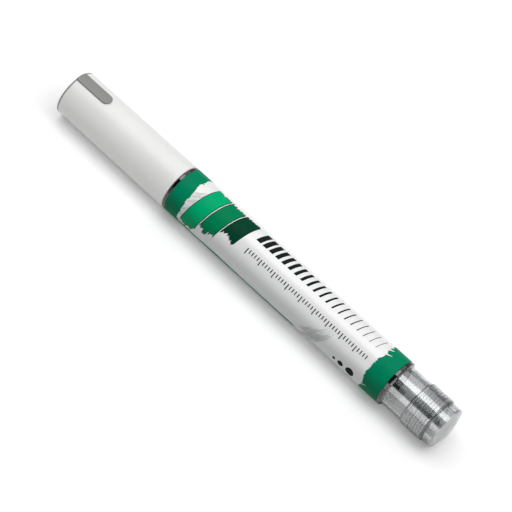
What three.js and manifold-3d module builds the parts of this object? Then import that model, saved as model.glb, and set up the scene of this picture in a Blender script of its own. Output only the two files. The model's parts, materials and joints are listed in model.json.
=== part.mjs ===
// A paint marker lying on its side: a cap with an end plug, short clip and inner cap, a labelled
// clear barrel, a pump valve worked by the nib, a mixing ball and a clear screw-in tail plug.
// Millimetres. X runs from the cap's end to the tail and Z is up. The origin lies on the resting
// plane, under the middle of the marker. Stations are distances along X from the cap's end.
import * as THREE from "three";
import { mergeVertices } from "three/addons/utils/BufferGeometryUtils.js";
import Module from "manifold-3d";

// Driving dimensions: fits
const bonded = 0.05; // gap between two pieces that are pressed, welded or glued together
const running = 0.15; // radial gap round a piece that slides or turns
const edge = 0.2; // broken edge on mouldings

// Driving dimensions: barrel and label
const barrelRadius = 7.0; // outside, under the label
const barrelWall = 1.15;
const labelFilm = 0.15;
const labelLength = 79.6;
const frontRim = 1.0; // raised rim in front of the label
const rearRim = 0.8; // raised rim behind the label
const rearChamfer = 0.4; // slope from the rear rim to the neck
const bulkhead = 1.6; // wall between the paint tank and the empty rear compartment
const bulkheadSetback = 2.75; // how far the bulkhead lies inside the label's end
const neckStep = 0.6; // how far the neck lies inside the barrel's outside
const neckWall = 0.9;
const neckLength = 7.1;
const collarStep = 0.4; // how far the threaded collar stands out of the neck
const collarLength = 6.75;
const threadStep = 0.25; // how far the collar's bore is wider than the neck's

// Driving dimensions: tail plug and its gasket
const gasketThickness = 0.5;
const gasketProud = 0.07; // stands out of the collar as a fine bead
const headStep = 0.4; // how far the plug's head lies inside the collar's outside
const headSide = 2.65; // straight side of the head
const headRound = 0.5; // rounding between the side and the dome
const domeHeight = 1.2;
const stemLength = 6.4; // threaded part of the plug, in the collar
const stemWall = 1.2;
const domeWall = 1.6;

// Driving dimensions: cap
const capLength = 41.5;
const capTaper = 0.13; // loss of radius from the mouth to the end
const capWall = 0.82; // at the end
const endPlate = 0.4; // grey disc that closes the cap
const plugSpigot = 4.5; // length of the end plug inside the cap
const plugWall = 1.0;
const clipLength = 12.0;
const clipWidth = 3.75;
const clipThickness = 0.4;
const innerCapWall = 0.85;
const innerCapEnd = 1.2;
const innerCapFinLength = 6.0;
const innerCapFinWidth = 0.8;
const innerCapFins = 4;

// Driving dimensions: front section, which holds the nib and the valve
const gripLength = 9.5;
const gripGrooves = 3;
const grooveWidth = 0.8;
const grooveDepth = 0.2;
const groovePitch = 2.0;
const gripCone = 4.0;
const sealLandRadius = 3.6; // the inner cap seals round this
const sealLandLength = 4.0;
const noseCone = 5.0;
const noseRadius = 2.5;
const noseLip = 2.0; // length of the narrow hole that guides the tip
const spigotLength = 10.0;
const ringWidth = 1.4; // sealing ring round the spigot
const ringDepth = 0.55;
const ringSetback = 4.0; // from the barrel's front face to the ring's groove
const flutes = 4; // paint channels along the nib
const fluteWidth = 0.7;
const fluteDepth = 0.45;

// Driving dimensions: nib, valve and spring
const tipReach = 5.0; // how far the nib stands out of the nose
const tipRadius = 1.45;
const tipTaper = 2.6; // length of the rounded end
const nibRadius = 2.0;
const valveSetback = 1.5; // from the barrel's front face to the valve pocket
const housingRadius = 4.5;
const housingWall = 0.8;
const housingFloor = 1.2; // front wall, with the hole for the stem
const housingTail = 7.5; // part of the housing that stands behind its flange
const flangeThickness = 1.0;
const flangeGap = 0.25; // between the flange and the tank's wall
const portCount = 3;
const portWidth = 2.4;
const portLength = 3.2;
const seatThickness = 1.0;
const seatLand = 0.35; // how far the seat washer's hole is wider than the stem
const stemRadius = 1.1;
const nibTravel = 1.8; // how far the nib can be pressed in
const nibStop = 0.25; // gap left between the pressed nib and the valve
const headRadius = 2.9;
const headThickness = 1.5;
const pinRadius = 0.9;
const pinLength = 8.0;
const retainerThickness = 1.2;
const retainerHole = 1.3;
const springRadius = 2.4; // to the middle of the wire
const wireRadius = 0.3;
const springTurns = 7;
const springEndClosing = 0.25; // share by which the end turns lie closer

// Driving dimensions: mixing ball
const ballRadius = 2.4;
const ballSetback = 28.2; // from the bulkhead to the ball's middle, as it lies

// Facets
const sides = 32; // round the coaxial pieces: a flat of each faces down
const smallSides = 24;
const clipSides = 96;
const arcSteps = 4;
const ballRings = 10;
const wireSides = 5;
const stepsPerTurn = 8;

// Radii that follow
const labelRadius = barrelRadius + bonded + labelFilm;
const tankRadius = barrelRadius - barrelWall;
const neckRadius = barrelRadius - neckStep;
const compartmentRadius = neckRadius - neckWall;
const collarRadius = neckRadius + collarStep;
const threadRadius = compartmentRadius + threadStep;
const plugStemRadius = threadRadius - running;
const plugHeadRadius = collarRadius - headStep;
const capEndRadius = labelRadius - capTaper;
const capBore = capEndRadius - capWall;
const gripRadius = capBore - running;
const spigotRadius = tankRadius - bonded;
const innerCapBore = sealLandRadius + running;
const innerCapRadius = innerCapBore + innerCapWall;
const innerCapFlange = capBore - bonded;
const nibBore = nibRadius + running;
const tipBore = tipRadius + running;
const pocketRadius = housingRadius + bonded;
const chamberRadius = housingRadius - housingWall;

// Stations that follow
const barrelFront = capLength + bonded;
const labelFront = barrelFront + frontRim + bonded;
const labelRear = labelFront + labelLength;
const rearRimFront = labelRear + bonded;
const shoulder = rearRimFront + rearRim + rearChamfer;
const neckRear = shoulder + neckLength;
const collarRear = neckRear + collarLength;
const compartmentFloor = labelRear - bulkheadSetback;
const tankFloor = compartmentFloor - bulkhead;
const gasketFront = collarRear + bonded;
const headFront = gasketFront + gasketThickness + bonded;
const apex = headFront + headSide + headRound + domeHeight;
const stemFront = collarRear - stemLength;
const gripFront = capLength - gripLength;
const landRear = gripFront - gripCone;
const landFront = landRear - sealLandLength;
const noseFront = landFront - noseCone;
const tipFront = noseFront - tipReach;
const spigotRear = barrelFront + spigotLength;
const pocketFront = barrelFront + valveSetback;
const housingFront = pocketFront + bonded;
const flangeFront = spigotRear + bonded;
const housingRear = flangeFront + flangeThickness + housingTail;
const seatFront = housingFront + housingFloor + bonded;
const plungerHead = seatFront + seatThickness + bonded;
const springFront = plungerHead + headThickness + bonded;
const retainerFront = housingRear - retainerThickness;
const nibRear = housingFront - nibStop - nibTravel;
const plungerFront = nibRear + bonded;
const innerCapFront = endPlate + plugSpigot + bonded;
const innerCapMouth = landRear - edge;
const ballMiddle = tankFloor - ballSetback;

const finishes = {
  whiteCap: { color: 0xf1f1ef, roughness: 0.42, metalness: 0 },
  greyPlug: { color: 0x9a9a97, roughness: 0.45, metalness: 0 },
  liner: { color: 0xe8e8e4, roughness: 0.5, metalness: 0 },
  clear: { color: 0xc9cccd, roughness: 0.08, metalness: 0, transparent: true, opacity: 0.4 },
  label: { color: 0xf4f5f4, roughness: 0.25, metalness: 0 },
  section: { color: 0xeceae4, roughness: 0.4, metalness: 0 },
  felt: { color: 0xf2efe6, roughness: 0.95, metalness: 0 },
  valve: { color: 0xdfe1e0, roughness: 0.5, metalness: 0 },
  elastomer: { color: 0x4c4e50, roughness: 0.7, metalness: 0 },
  steel: { color: 0xb9bcc0, roughness: 0.25, metalness: 1 },
};

const wasm = await Module();
wasm.setup();

// A body of revolution about X from a profile of [station, radius] points, with the solid on the
// right-hand side of its path. The flats, and not the corners, lie at the given radii.
function turned(profile, count = sides) {
  const onAxis = profile[0][1] === 0 && profile.at(-1)[1] === 0;
  const closed = onAxis ? profile : [...profile, profile[0]];
  const corner = 1 / Math.cos(Math.PI / count);
  const points = closed.map(([station, radius]) => new THREE.Vector2(radius * corner, station));
  return new THREE.LatheGeometry(points, count, Math.PI / count).rotateZ(-Math.PI / 2);
}

// Points on an arc in the profile's plane, from one angle to another in degrees, where 0 points
// along X and 90 points away from the axis.
function arc(station, radius, size, from, to, steps = arcSteps) {
  return Array.from({ length: steps + 1 }, (_, i) => {
    const angle = THREE.MathUtils.degToRad(from + ((to - from) * i) / steps);
    return [station + size * Math.cos(angle), radius + size * Math.sin(angle)];
  });
}

function solidOf(geometry) {
  const bare = geometry.clone();
  bare.deleteAttribute("normal");
  bare.deleteAttribute("uv");
  const merged = mergeVertices(bare, 1e-4);
  return new wasm.Manifold(
    new wasm.Mesh({
      numProp: 3,
      vertProperties: new Float32Array(merged.attributes.position.array),
      triVerts: new Uint32Array(merged.index.array),
    }),
  );
}

function geometryOf(solid) {
  const mesh = solid.getMesh();
  const geometry = new THREE.BufferGeometry();
  geometry.setAttribute("position", new THREE.BufferAttribute(mesh.vertProperties, 3));
  geometry.setIndex(new THREE.BufferAttribute(mesh.triVerts, 1));
  geometry.computeVertexNormals();
  return geometry;
}

function cut(geometry, tools) {
  return geometryOf(tools.reduce((left, tool) => left.subtract(solidOf(tool)), solidOf(geometry)));
}

function join(geometry, others) {
  return geometryOf(others.reduce((made, other) => made.add(solidOf(other)), solidOf(geometry)));
}

function common(a, b) {
  return geometryOf(solidOf(a).intersect(solidOf(b)));
}

// Bars along X, evenly spaced round the axis, each reaching from one radius to another.
function radialBars(count, fromStation, toStation, fromRadius, toRadius, width) {
  return Array.from({ length: count }, (_, i) =>
    new THREE.BoxGeometry(toStation - fromStation, width, toRadius - fromRadius)
      .translate((fromStation + toStation) / 2, 0, (fromRadius + toRadius) / 2)
      .rotateX((2 * Math.PI * i) / count),
  );
}

function capRadiusAt(station) {
  return capEndRadius + (capTaper * station) / capLength;
}

// Slim tapered tube, open at both ends; the end plug closes the far one.
function capShell() {
  const front = endPlate + bonded;
  return turned([
    [front, capBore],
    [front, capRadiusAt(front)],
    [capLength - edge, capRadiusAt(capLength - edge)],
    [capLength, labelRadius - edge],
    [capLength, capBore + edge],
    [capLength - edge, capBore],
  ]);
}

// Tongue that lies along the cap as a short clip and keeps the marker from rolling: a thin shell
// round the cap, cut to a strip with a half-round tip.
function clipTongue() {
  const inside = capRadiusAt(clipLength) + bonded;
  const outside = inside + clipThickness;
  const shell = turned(
    [
      [0, capEndRadius - plugWall],
      [0, outside - edge],
      [edge, outside],
      [clipLength - edge, outside],
      [clipLength, outside - edge],
      [clipLength, inside],
      [endPlate, inside],
      [endPlate, capEndRadius - plugWall],
    ],
    clipSides,
  );
  const half = clipWidth / 2;
  const strip = new THREE.Shape();
  strip.moveTo(0, -half);
  strip.lineTo(clipLength - half, -half);
  strip.absarc(clipLength - half, 0, half, -Math.PI / 2, Math.PI / 2, false);
  strip.lineTo(0, half);
  strip.closePath();
  const column = new THREE.ExtrudeGeometry(strip, {
    depth: 2 * outside,
    bevelEnabled: false,
    curveSegments: 6,
  });
  return common(shell, column);
}

// Disc that closes the cap, with a hollow spigot pressed into it and the clip's tongue.
function capEndPlug() {
  const outside = capBore - bonded;
  const rear = endPlate + plugSpigot;
  const disc = turned([
    [0, 0],
    ...arc(edge, capEndRadius - edge, edge, 180, 90, 2),
    [endPlate, capEndRadius],
    [endPlate, outside],
    [rear - edge, outside],
    [rear, outside - edge],
    [rear, outside - plugWall],
    [endPlate + plugWall, outside - plugWall],
    [endPlate + plugWall, 0],
  ]);
  return join(disc, [clipTongue()]);
}

// Cup that seals round the section's land, with a flange on the end plug and centring fins.
function innerCap() {
  const bottom = innerCapFront + innerCapEnd;
  const cup = turned([
    [innerCapFront, 0],
    [innerCapFront, innerCapFlange - edge],
    [innerCapFront + edge, innerCapFlange],
    [bottom, innerCapFlange],
    [bottom, innerCapRadius],
    [innerCapMouth - edge, innerCapRadius],
    [innerCapMouth, innerCapRadius - edge],
    [innerCapMouth, innerCapBore + edge],
    [innerCapMouth - edge, innerCapBore],
    [bottom, innerCapBore],
    [bottom, 0],
  ]);
  const finRear = innerCapMouth - 2 * edge;
  const finFoot = innerCapRadius - innerCapWall / 2;
  const finTop = innerCapFlange - edge;
  return join(
    cup,
    radialBars(innerCapFins, finRear - innerCapFinLength, finRear, finFoot, finTop, innerCapFinWidth),
  );
}

// Clear tube with a rim at each end of the label, a bulkhead, a neck and a threaded collar.
function barrelTube() {
  const slope = (threadRadius - compartmentRadius) * 2;
  const threadFront = Math.min(neckRear, stemFront - running);
  return turned([
    [tankFloor, 0],
    [tankFloor, tankRadius],
    [barrelFront, tankRadius],
    [barrelFront, labelRadius - edge],
    [barrelFront + edge, labelRadius],
    [labelFront - bonded, labelRadius],
    [labelFront - bonded, barrelRadius],
    [rearRimFront, barrelRadius],
    [rearRimFront, labelRadius],
    [rearRimFront + rearRim, labelRadius],
    [shoulder, labelRadius - rearChamfer],
    [shoulder, neckRadius],
    [neckRear, neckRadius],
    [neckRear, collarRadius - edge],
    [neckRear + edge, collarRadius],
    [collarRear - edge, collarRadius],
    [collarRear, collarRadius - edge],
    [collarRear, threadRadius],
    [threadFront, threadRadius],
    [threadFront - slope, compartmentRadius],
    [compartmentFloor, compartmentRadius],
    [compartmentFloor, 0],
  ]);
}

// Printed film wrapped round the barrel between the rims.
function labelSleeve() {
  const inside = barrelRadius + bonded;
  return turned([
    [labelFront, inside],
    [labelFront, labelRadius],
    [labelRear, labelRadius],
    [labelRear, inside],
  ]);
}

// Grip grooves, as profile points along the grip towards the tail.
function grooveProfile() {
  const first = (gripFront + capLength - (gripGrooves - 1) * groovePitch) / 2;
  return Array.from({ length: gripGrooves }, (_, i) => first + i * groovePitch).flatMap((middle) => [
    [middle - grooveWidth / 2, gripRadius],
    [middle - grooveWidth / 4, gripRadius - grooveDepth],
    [middle + grooveWidth / 4, gripRadius - grooveDepth],
    [middle + grooveWidth / 2, gripRadius],
  ]);
}

// Nose, seal land, grip and the spigot that is pressed into the barrel, bored for nib and valve.
function frontSection() {
  const ringFront = barrelFront + ringSetback;
  const ringRear = ringFront + ringWidth + 2 * bonded;
  const ringFloor = spigotRadius - ringDepth;
  const body = turned([
    [noseFront, tipBore],
    [noseFront, noseRadius - edge],
    [noseFront + edge, noseRadius],
    [landFront, sealLandRadius],
    [landRear, sealLandRadius],
    [gripFront, gripRadius],
    ...grooveProfile(),
    [capLength, gripRadius],
    [capLength, spigotRadius],
    [ringFront, spigotRadius],
    [ringFront, ringFloor],
    [ringRear, ringFloor],
    [ringRear, spigotRadius],
    [spigotRear, spigotRadius],
    [spigotRear, pocketRadius],
    [pocketFront, pocketRadius],
    [pocketFront, nibBore],
    [noseFront + noseLip, nibBore],
    [noseFront + noseLip, tipBore],
  ]);
  const fluteFront = noseFront + noseLip + edge;
  return cut(
    body,
    radialBars(flutes, fluteFront, pocketFront + edge, 0, nibBore + fluteDepth, fluteWidth),
  );
}

// Ring of square section with broken corners, from an inner to an outer radius.
function ring(front, rear, inside, outside, count = sides) {
  const bevel = Math.min(edge, (rear - front) / 3);
  return turned(
    [
      [front, inside],
      [front, outside - bevel],
      [front + bevel, outside],
      [rear - bevel, outside],
      [rear, outside - bevel],
      [rear, inside],
    ],
    count,
  );
}

function spigotRing() {
  const front = barrelFront + ringSetback + bonded;
  const inside = spigotRadius - ringDepth + bonded;
  return ring(front, front + ringWidth, inside, spigotRadius);
}

// Cup with a flange against the spigot, a hole for the stem and side ports for the paint.
function valveHousing() {
  const flangeRear = flangeFront + flangeThickness;
  const flangeRadius = tankRadius - flangeGap;
  const stemHole = stemRadius + running;
  const chamber = seatFront - bonded;
  const cup = turned(
    [
      [housingFront, stemHole],
      [housingFront, housingRadius - edge],
      [housingFront + edge, housingRadius],
      [flangeFront, housingRadius],
      [flangeFront, flangeRadius],
      [flangeRear, flangeRadius],
      [flangeRear, housingRadius],
      [housingRear, housingRadius],
      [housingRear, chamberRadius],
      [chamber, chamberRadius],
      [chamber, stemHole],
    ],
    smallSides,
  );
  const portFront = flangeRear + edge;
  return cut(
    cup,
    radialBars(portCount, portFront, portFront + portLength, headRadius, tankRadius, portWidth),
  );
}

function seatWasher() {
  const inside = stemRadius + seatLand;
  return ring(seatFront, seatFront + seatThickness, inside, chamberRadius - bonded, smallSides);
}

// Disc pressed into the housing's open end; the spring bears on it and paint passes its slots.
function springRetainer() {
  const outside = chamberRadius - bonded;
  const disc = ring(retainerFront, housingRear, retainerHole, outside, smallSides);
  const slotWidth = retainerHole;
  const slotReach = outside - housingWall;
  const slots = radialBars(
    portCount,
    retainerFront - edge,
    housingRear + edge,
    0,
    slotReach,
    slotWidth,
  );
  return cut(disc, slots);
}

// Fibre rod: rounded tip, guided neck, and a thicker body that the nose lip keeps in.
function writingNib() {
  const stop = noseFront + noseLip + running;
  const tipAngles = [10, 30, 50, 70, 90];
  const tip = tipAngles.map((degrees) => {
    const angle = THREE.MathUtils.degToRad(degrees);
    return [tipFront + tipTaper * (1 - Math.cos(angle)), tipRadius * Math.sin(angle)];
  });
  return turned(
    [
      [tipFront, 0],
      ...tip,
      [stop, tipRadius],
      [stop + edge, nibRadius],
      [nibRear - edge, nibRadius],
      [nibRear, nibRadius - edge],
      [nibRear, 0],
    ],
    smallSides,
  );
}

// Stem that the nib pushes, head that closes the seat, and a pin that guides the spring.
function valvePlunger() {
  const headRear = plungerHead + headThickness;
  const pinRear = headRear + pinLength;
  return turned(
    [
      [plungerFront, 0],
      [plungerFront, stemRadius - edge],
      [plungerFront + edge, stemRadius],
      [plungerHead, stemRadius],
      [plungerHead, headRadius - edge],
      [plungerHead + edge, headRadius],
      [headRear, headRadius],
      [headRear, pinRadius],
      [pinRear - edge, pinRadius],
      [pinRear, pinRadius - edge],
      [pinRear, 0],
    ],
    smallSides,
  );
}

// Middle of the spring's wire after a number of turns; the end turns lie closer together.
function springPoint(turns) {
  const share = turns / springTurns;
  const length = retainerFront - springFront - 2 * (wireRadius + bonded);
  const wave = (springEndClosing * Math.sin(2 * Math.PI * share)) / (2 * Math.PI);
  const angle = 2 * Math.PI * turns;
  return new THREE.Vector3(
    springFront + wireRadius + bonded + length * (share - wave),
    springRadius * Math.cos(angle),
    springRadius * Math.sin(angle),
  );
}

// Least distance between the surfaces of the wire's turns, measured on its points.
function leastSpringGap(points) {
  const gaps = points.flatMap((a, i) =>
    points.slice(i + stepsPerTurn / 2).map((b) => a.distanceTo(b) - 2 * wireRadius),
  );
  return Math.min(...gaps);
}

// Compression spring: one unbroken tube along a helix, closed at both ends.
function valveSpring() {
  const count = springTurns * stepsPerTurn + 1;
  const points = Array.from({ length: count }, (_, i) => springPoint(i / stepsPerTurn));
  console.log(`valve_spring: least gap to itself ${leastSpringGap(points).toFixed(2)} mm`);
  const slant = Math.atan2(points.at(-1).x - points[0].x, 2 * Math.PI * springRadius * springTurns);
  const positions = points.flatMap((point) => {
    const out = new THREE.Vector3(0, point.y, point.z).normalize();
    const across = new THREE.Vector3(Math.cos(slant), 0, 0).addScaledVector(
      new THREE.Vector3(0, -out.z, out.y),
      -Math.sin(slant),
    );
    return Array.from({ length: wireSides }, (_, k) => {
      const angle = (2 * Math.PI * k) / wireSides;
      return point
        .clone()
        .addScaledVector(out, wireRadius * Math.cos(angle))
        .addScaledVector(across, wireRadius * Math.sin(angle))
        .toArray();
    }).flat();
  });
  const index = [];
  for (let i = 0; i < count - 1; i++) {
    for (let k = 0; k < wireSides; k++) {
      const a = i * wireSides + k;
      const b = i * wireSides + ((k + 1) % wireSides);
      index.push(a, a + wireSides, b, b, a + wireSides, b + wireSides);
    }
  }
  const last = (count - 1) * wireSides;
  for (let k = 1; k < wireSides - 1; k++) {
    index.push(0, k, k + 1, last, last + k + 1, last + k);
  }
  const geometry = new THREE.BufferGeometry();
  geometry.setAttribute("position", new THREE.Float32BufferAttribute(positions, 3));
  geometry.setIndex(index);
  geometry.computeVertexNormals();
  return geometry;
}

// Clear cap of the tail: hollow threaded stem, round head and a shallow dome.
function tailPlug() {
  const bore = plugStemRadius - stemWall;
  const sideRear = headFront + headSide;
  const domeFoot = plugHeadRadius - headRound;
  const domeRadius = (domeFoot ** 2 + domeHeight ** 2) / (2 * domeHeight);
  const domeAngle = THREE.MathUtils.radToDeg(Math.asin(domeFoot / domeRadius));
  const dome = arc(apex - domeRadius, 0, domeRadius, domeAngle, 0);
  dome[dome.length - 1][1] = 0;
  return turned([
    [apex - domeWall, 0],
    [apex - domeWall - edge, bore - edge],
    [apex - domeWall - 2 * edge, bore],
    [stemFront, bore],
    [stemFront, plugStemRadius - edge],
    [stemFront + edge, plugStemRadius],
    [headFront, plugStemRadius],
    [headFront, plugHeadRadius],
    ...arc(sideRear, domeFoot, headRound, 90, 0, 3),
    ...dome.slice(1),
  ]);
}

function plugGasket() {
  const rear = gasketFront + gasketThickness;
  return ring(gasketFront, rear, plugStemRadius + 2 * bonded, collarRadius + gasketProud);
}

function mixingBall() {
  const points = arc(0, 0, ballRadius, 180, 0, ballRings);
  points[0][1] = 0;
  points[ballRings][1] = 0;
  return turned(points, smallSides);
}

function piece(name, geometry, finish) {
  const mesh = new THREE.Mesh(geometry, new THREE.MeshStandardMaterial(finish));
  mesh.name = name;
  return mesh;
}

function capGroup() {
  const group = new THREE.Group();
  group.add(
    piece("cap_shell", capShell(), finishes.whiteCap),
    piece("cap_end_plug", capEndPlug(), finishes.greyPlug),
    piece("inner_cap", innerCap(), finishes.liner),
  );
  return group;
}

function barrelGroup() {
  const group = new THREE.Group();
  group.add(
    piece("barrel_tube", barrelTube(), finishes.clear),
    piece("label_sleeve", labelSleeve(), finishes.label),
    piece("front_section", frontSection(), finishes.section),
    piece("section_seal_ring", spigotRing(), finishes.elastomer),
    piece("valve_housing", valveHousing(), finishes.valve),
    piece("valve_seat_washer", seatWasher(), finishes.elastomer),
    piece("valve_spring", valveSpring(), finishes.steel),
    piece("spring_retainer", springRetainer(), finishes.valve),
  );
  return group;
}

function pumpGroup() {
  const group = new THREE.Group();
  group.add(
    piece("writing_nib", writingNib(), finishes.felt),
    piece("valve_plunger", valvePlunger(), finishes.valve),
  );
  return group;
}

// The ball lies on the bottom of the tank.
function ballGroup() {
  const group = new THREE.Group();
  group.add(piece("mixing_ball", mixingBall(), finishes.steel));
  const cornerRadius = ballRadius / Math.cos(Math.PI / smallSides);
  group.position.set(ballMiddle, 0, -(tankRadius - cornerRadius - bonded));
  return group;
}

function tailGroup() {
  const group = new THREE.Group();
  group.add(
    piece("plug_gasket", plugGasket(), finishes.elastomer),
    piece("tail_plug", tailPlug(), finishes.clear),
  );
  return group;
}

const marker = new THREE.Group();
marker.add(capGroup(), barrelGroup(), pumpGroup(), ballGroup(), tailGroup());
marker.position.set(-apex / 2, 0, labelRadius);

const model = new THREE.Group();
model.add(marker);

export default model;
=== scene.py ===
"""Looks of a capped paint marker that lies on its side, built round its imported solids.

Lengths are in millimetres unless a name says otherwise. A station is a distance along the marker
from the cap's end, and an angle round it runs from straight up towards -Y. New surfaces are worked
out as whole numpy arrays and placed in metres, in the same frame as the solids.
"""

from __future__ import annotations

import json
import logging
import math
from dataclasses import dataclass
from enum import Enum
from typing import Any, Mapping, Sequence

import bmesh
import bpy
import numpy as np
from mathutils import Matrix, Vector

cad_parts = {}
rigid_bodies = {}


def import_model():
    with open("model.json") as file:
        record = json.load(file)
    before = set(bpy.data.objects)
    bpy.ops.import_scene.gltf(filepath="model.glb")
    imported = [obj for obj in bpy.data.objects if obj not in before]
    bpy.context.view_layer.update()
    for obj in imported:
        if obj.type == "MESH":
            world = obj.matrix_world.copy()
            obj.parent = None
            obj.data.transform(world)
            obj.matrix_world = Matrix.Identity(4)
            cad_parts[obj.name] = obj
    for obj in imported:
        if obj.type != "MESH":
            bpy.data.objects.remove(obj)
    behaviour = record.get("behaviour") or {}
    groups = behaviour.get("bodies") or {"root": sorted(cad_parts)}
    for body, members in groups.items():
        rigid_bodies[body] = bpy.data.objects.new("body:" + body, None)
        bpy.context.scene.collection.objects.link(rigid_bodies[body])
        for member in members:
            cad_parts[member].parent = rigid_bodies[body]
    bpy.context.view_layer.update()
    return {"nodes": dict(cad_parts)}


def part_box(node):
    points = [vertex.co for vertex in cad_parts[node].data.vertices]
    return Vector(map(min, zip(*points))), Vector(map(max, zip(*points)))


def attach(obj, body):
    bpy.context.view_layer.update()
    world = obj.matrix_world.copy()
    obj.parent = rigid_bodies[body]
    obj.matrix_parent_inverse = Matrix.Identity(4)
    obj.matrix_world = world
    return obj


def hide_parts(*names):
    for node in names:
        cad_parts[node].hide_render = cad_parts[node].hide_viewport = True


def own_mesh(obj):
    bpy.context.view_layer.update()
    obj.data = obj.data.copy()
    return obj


LOG = logging.getLogger("paint_marker")
MM = 0.001
FULL_TURN = 2 * math.pi
WHITE = (1.0, 1.0, 1.0, 1.0)
Array = np.ndarray
Corner = tuple[float, float, float]
Inputs = Mapping[int | str, Any]
Material = bpy.types.Material
Piece = bpy.types.Object
Socket = bpy.types.NodeSocket


class Body(Enum):
    """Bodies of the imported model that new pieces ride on."""

    CAP = "cap"
    BARREL = "barrel"
    NIB = "nib"
    BALL = "ball"
    GASKET = "gasket"
    PLUG = "plug"


class Slot(Enum):
    """Material slots that the record names."""

    CAP = "cap_plastic"
    GREY = "grey_plastic"
    LINER = "liner_plastic"
    CLEAR = "clear_plastic"
    LABEL = "label_film"
    SECTION = "section_plastic"
    SEAL = "seal_rubber"
    GASKET = "gasket_rubber"
    VALVE = "valve_plastic"
    STEEL = "spring_steel"
    NIB = "nib_fibre"


class Ends(Enum):
    """How a stack of rings is closed at its two ends."""

    POLES = "each end closes to a point"
    LINKED = "the last ring meets the first"
    STRIPS = "the two halves of each end ring are joined straight across"


def linear(hex_code: str) -> tuple[float, float, float, float]:
    """Turns an sRGB hex colour to linear values.

    A share c becomes c / 12.92 up to 0.04045, and ((c + 0.055) / 1.055) to the power 2.4 above.

    Args:
        hex_code: Six hex digits, such as "F1F1EF".

    Returns:
        Red, green, blue and an alpha of 1.
    """
    shares = [int(hex_code[i : i + 2], 16) / 255 for i in (0, 2, 4)]
    red, green, blue = (c / 12.92 if c <= 0.04045 else ((c + 0.055) / 1.055) ** 2.4 for c in shares)
    return red, green, blue, 1.0


def circle(count: int) -> Array:
    """Angles of points evenly spaced round a full turn."""
    return np.linspace(0, FULL_TURN, count, endpoint=False)


def squared_circle(count: int, exponent: float) -> tuple[Array, Array]:
    """Reads a superellipse, |x|^n + |y|^n = 1, at evenly spaced angles.

    x = sign(cos a) |cos a|^(2 / n) and y = sign(sin a) |sin a|^(2 / n).

    Args:
        count: Points round it.
        exponent: The n above; 2 is a circle, and more is squarer.

    Returns:
        The x and the y of its points.
    """
    waves = np.cos(circle(count)), np.sin(circle(count))
    x, y = (np.sign(wave) * np.abs(wave) ** (2 / exponent) for wave in waves)
    return x, y


@dataclass(frozen=True)
class Axis:
    """A line along X: where its station 0 lies and how high it runs."""

    start: float
    height: float

    @classmethod
    def of_marker(cls) -> Axis:
        """Finds the marker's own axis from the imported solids."""
        low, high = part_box("label_sleeve")
        return cls(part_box("cap_end_plug")[0].x / MM, (low.z + high.z) / 2 / MM)

    def place(self, stations: Array, radii: Array | float, angles: Array | float) -> Array:
        """Turns cylinder coordinates to points.

        x = start + station, y = -radius sin(angle) and z = height + radius cos(angle).

        Args:
            stations: Distances along the axis.
            radii: Distances from the axis.
            angles: Radians from straight up towards -Y.

        Returns:
            Points in metres, with one more dimension than the inputs' common shape.
        """
        s, r, a = np.broadcast_arrays(stations, radii, angles)
        points = (self.start + s, -r * np.sin(a), self.height + r * np.cos(a))
        return np.stack(points, axis=-1) * MM


@dataclass(frozen=True)
class Span:
    """Where a turned solid lies: its two end stations and its outer radius."""

    front: float
    rear: float
    radius: float

    @classmethod
    def of(cls, node: str, axis: Axis) -> Span:
        """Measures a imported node.

        Args:
            node: The node's name.
            axis: The axis that its stations are counted along.

        Returns:
            Its span. The radius is half its extent along Y.
        """
        low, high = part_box(node)
        front, rear = (corner.x / MM - axis.start for corner in (low, high))
        return cls(front, rear, (high.y - low.y) / 2 / MM)


@dataclass
class Surface:
    """A closed mesh of quads and triangles, with points in metres."""

    points: Array
    quads: Array
    triangles: Array

    def joined(self, *others: Surface) -> Surface:
        """Puts other surfaces into the same mesh.

        Args:
            *others: The surfaces to add.

        Returns:
            The whole.
        """
        whole = self
        for other in others:
            shift = len(whole.points)
            whole = Surface(
                np.vstack([whole.points, other.points]),
                np.vstack([whole.quads, other.quads + shift]),
                np.vstack([whole.triangles, other.triangles + shift]),
            )
        return whole

    def outward(self) -> Surface:
        """Turns the faces to point out.

        The volume is the sum over triangles of a . (b x c) / 6, and is negative inside out.

        Returns:
            The surface, turned where it has to be.
        """
        halves = (self.quads[:, [0, 1, 2]], self.quads[:, [0, 2, 3]], self.triangles)
        a, b, c = np.moveaxis(self.points[np.vstack(halves)], 1, 0)
        if np.einsum("ij,ij->", a, np.cross(b, c)) >= 0:
            return self
        return Surface(self.points, self.quads[:, ::-1], self.triangles[:, ::-1])

    def to_object(self, name: str, finish: Material, crease: float = 40.0) -> Piece:
        """Makes a Blender object at the origin from the surface.

        Args:
            name: The object's name.
            finish: Its one material.
            crease: Edges that turn by more than this many degrees stay sharp.

        Returns:
            The object, linked to the scene.
        """
        mesh = bpy.data.meshes.new(name)
        corners = np.concatenate([self.quads.ravel(), self.triangles.ravel()]).astype(np.int32)
        totals = np.repeat([4, 3], [len(self.quads), len(self.triangles)]).astype(np.int32)
        starts = np.concatenate([[0], np.cumsum(totals)[:-1]]).astype(np.int32)
        mesh.vertices.add(len(self.points))
        mesh.vertices.foreach_set("co", self.points.astype(np.float32).ravel())
        mesh.loops.add(len(corners))
        mesh.loops.foreach_set("vertex_index", corners)
        mesh.polygons.add(len(totals))
        mesh.polygons.foreach_set("loop_start", starts)
        mesh.polygons.foreach_set("loop_total", totals)
        mesh.update(calc_edges=True)
        mesh.validate()
        return dressed(mesh, finish, crease)


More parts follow.
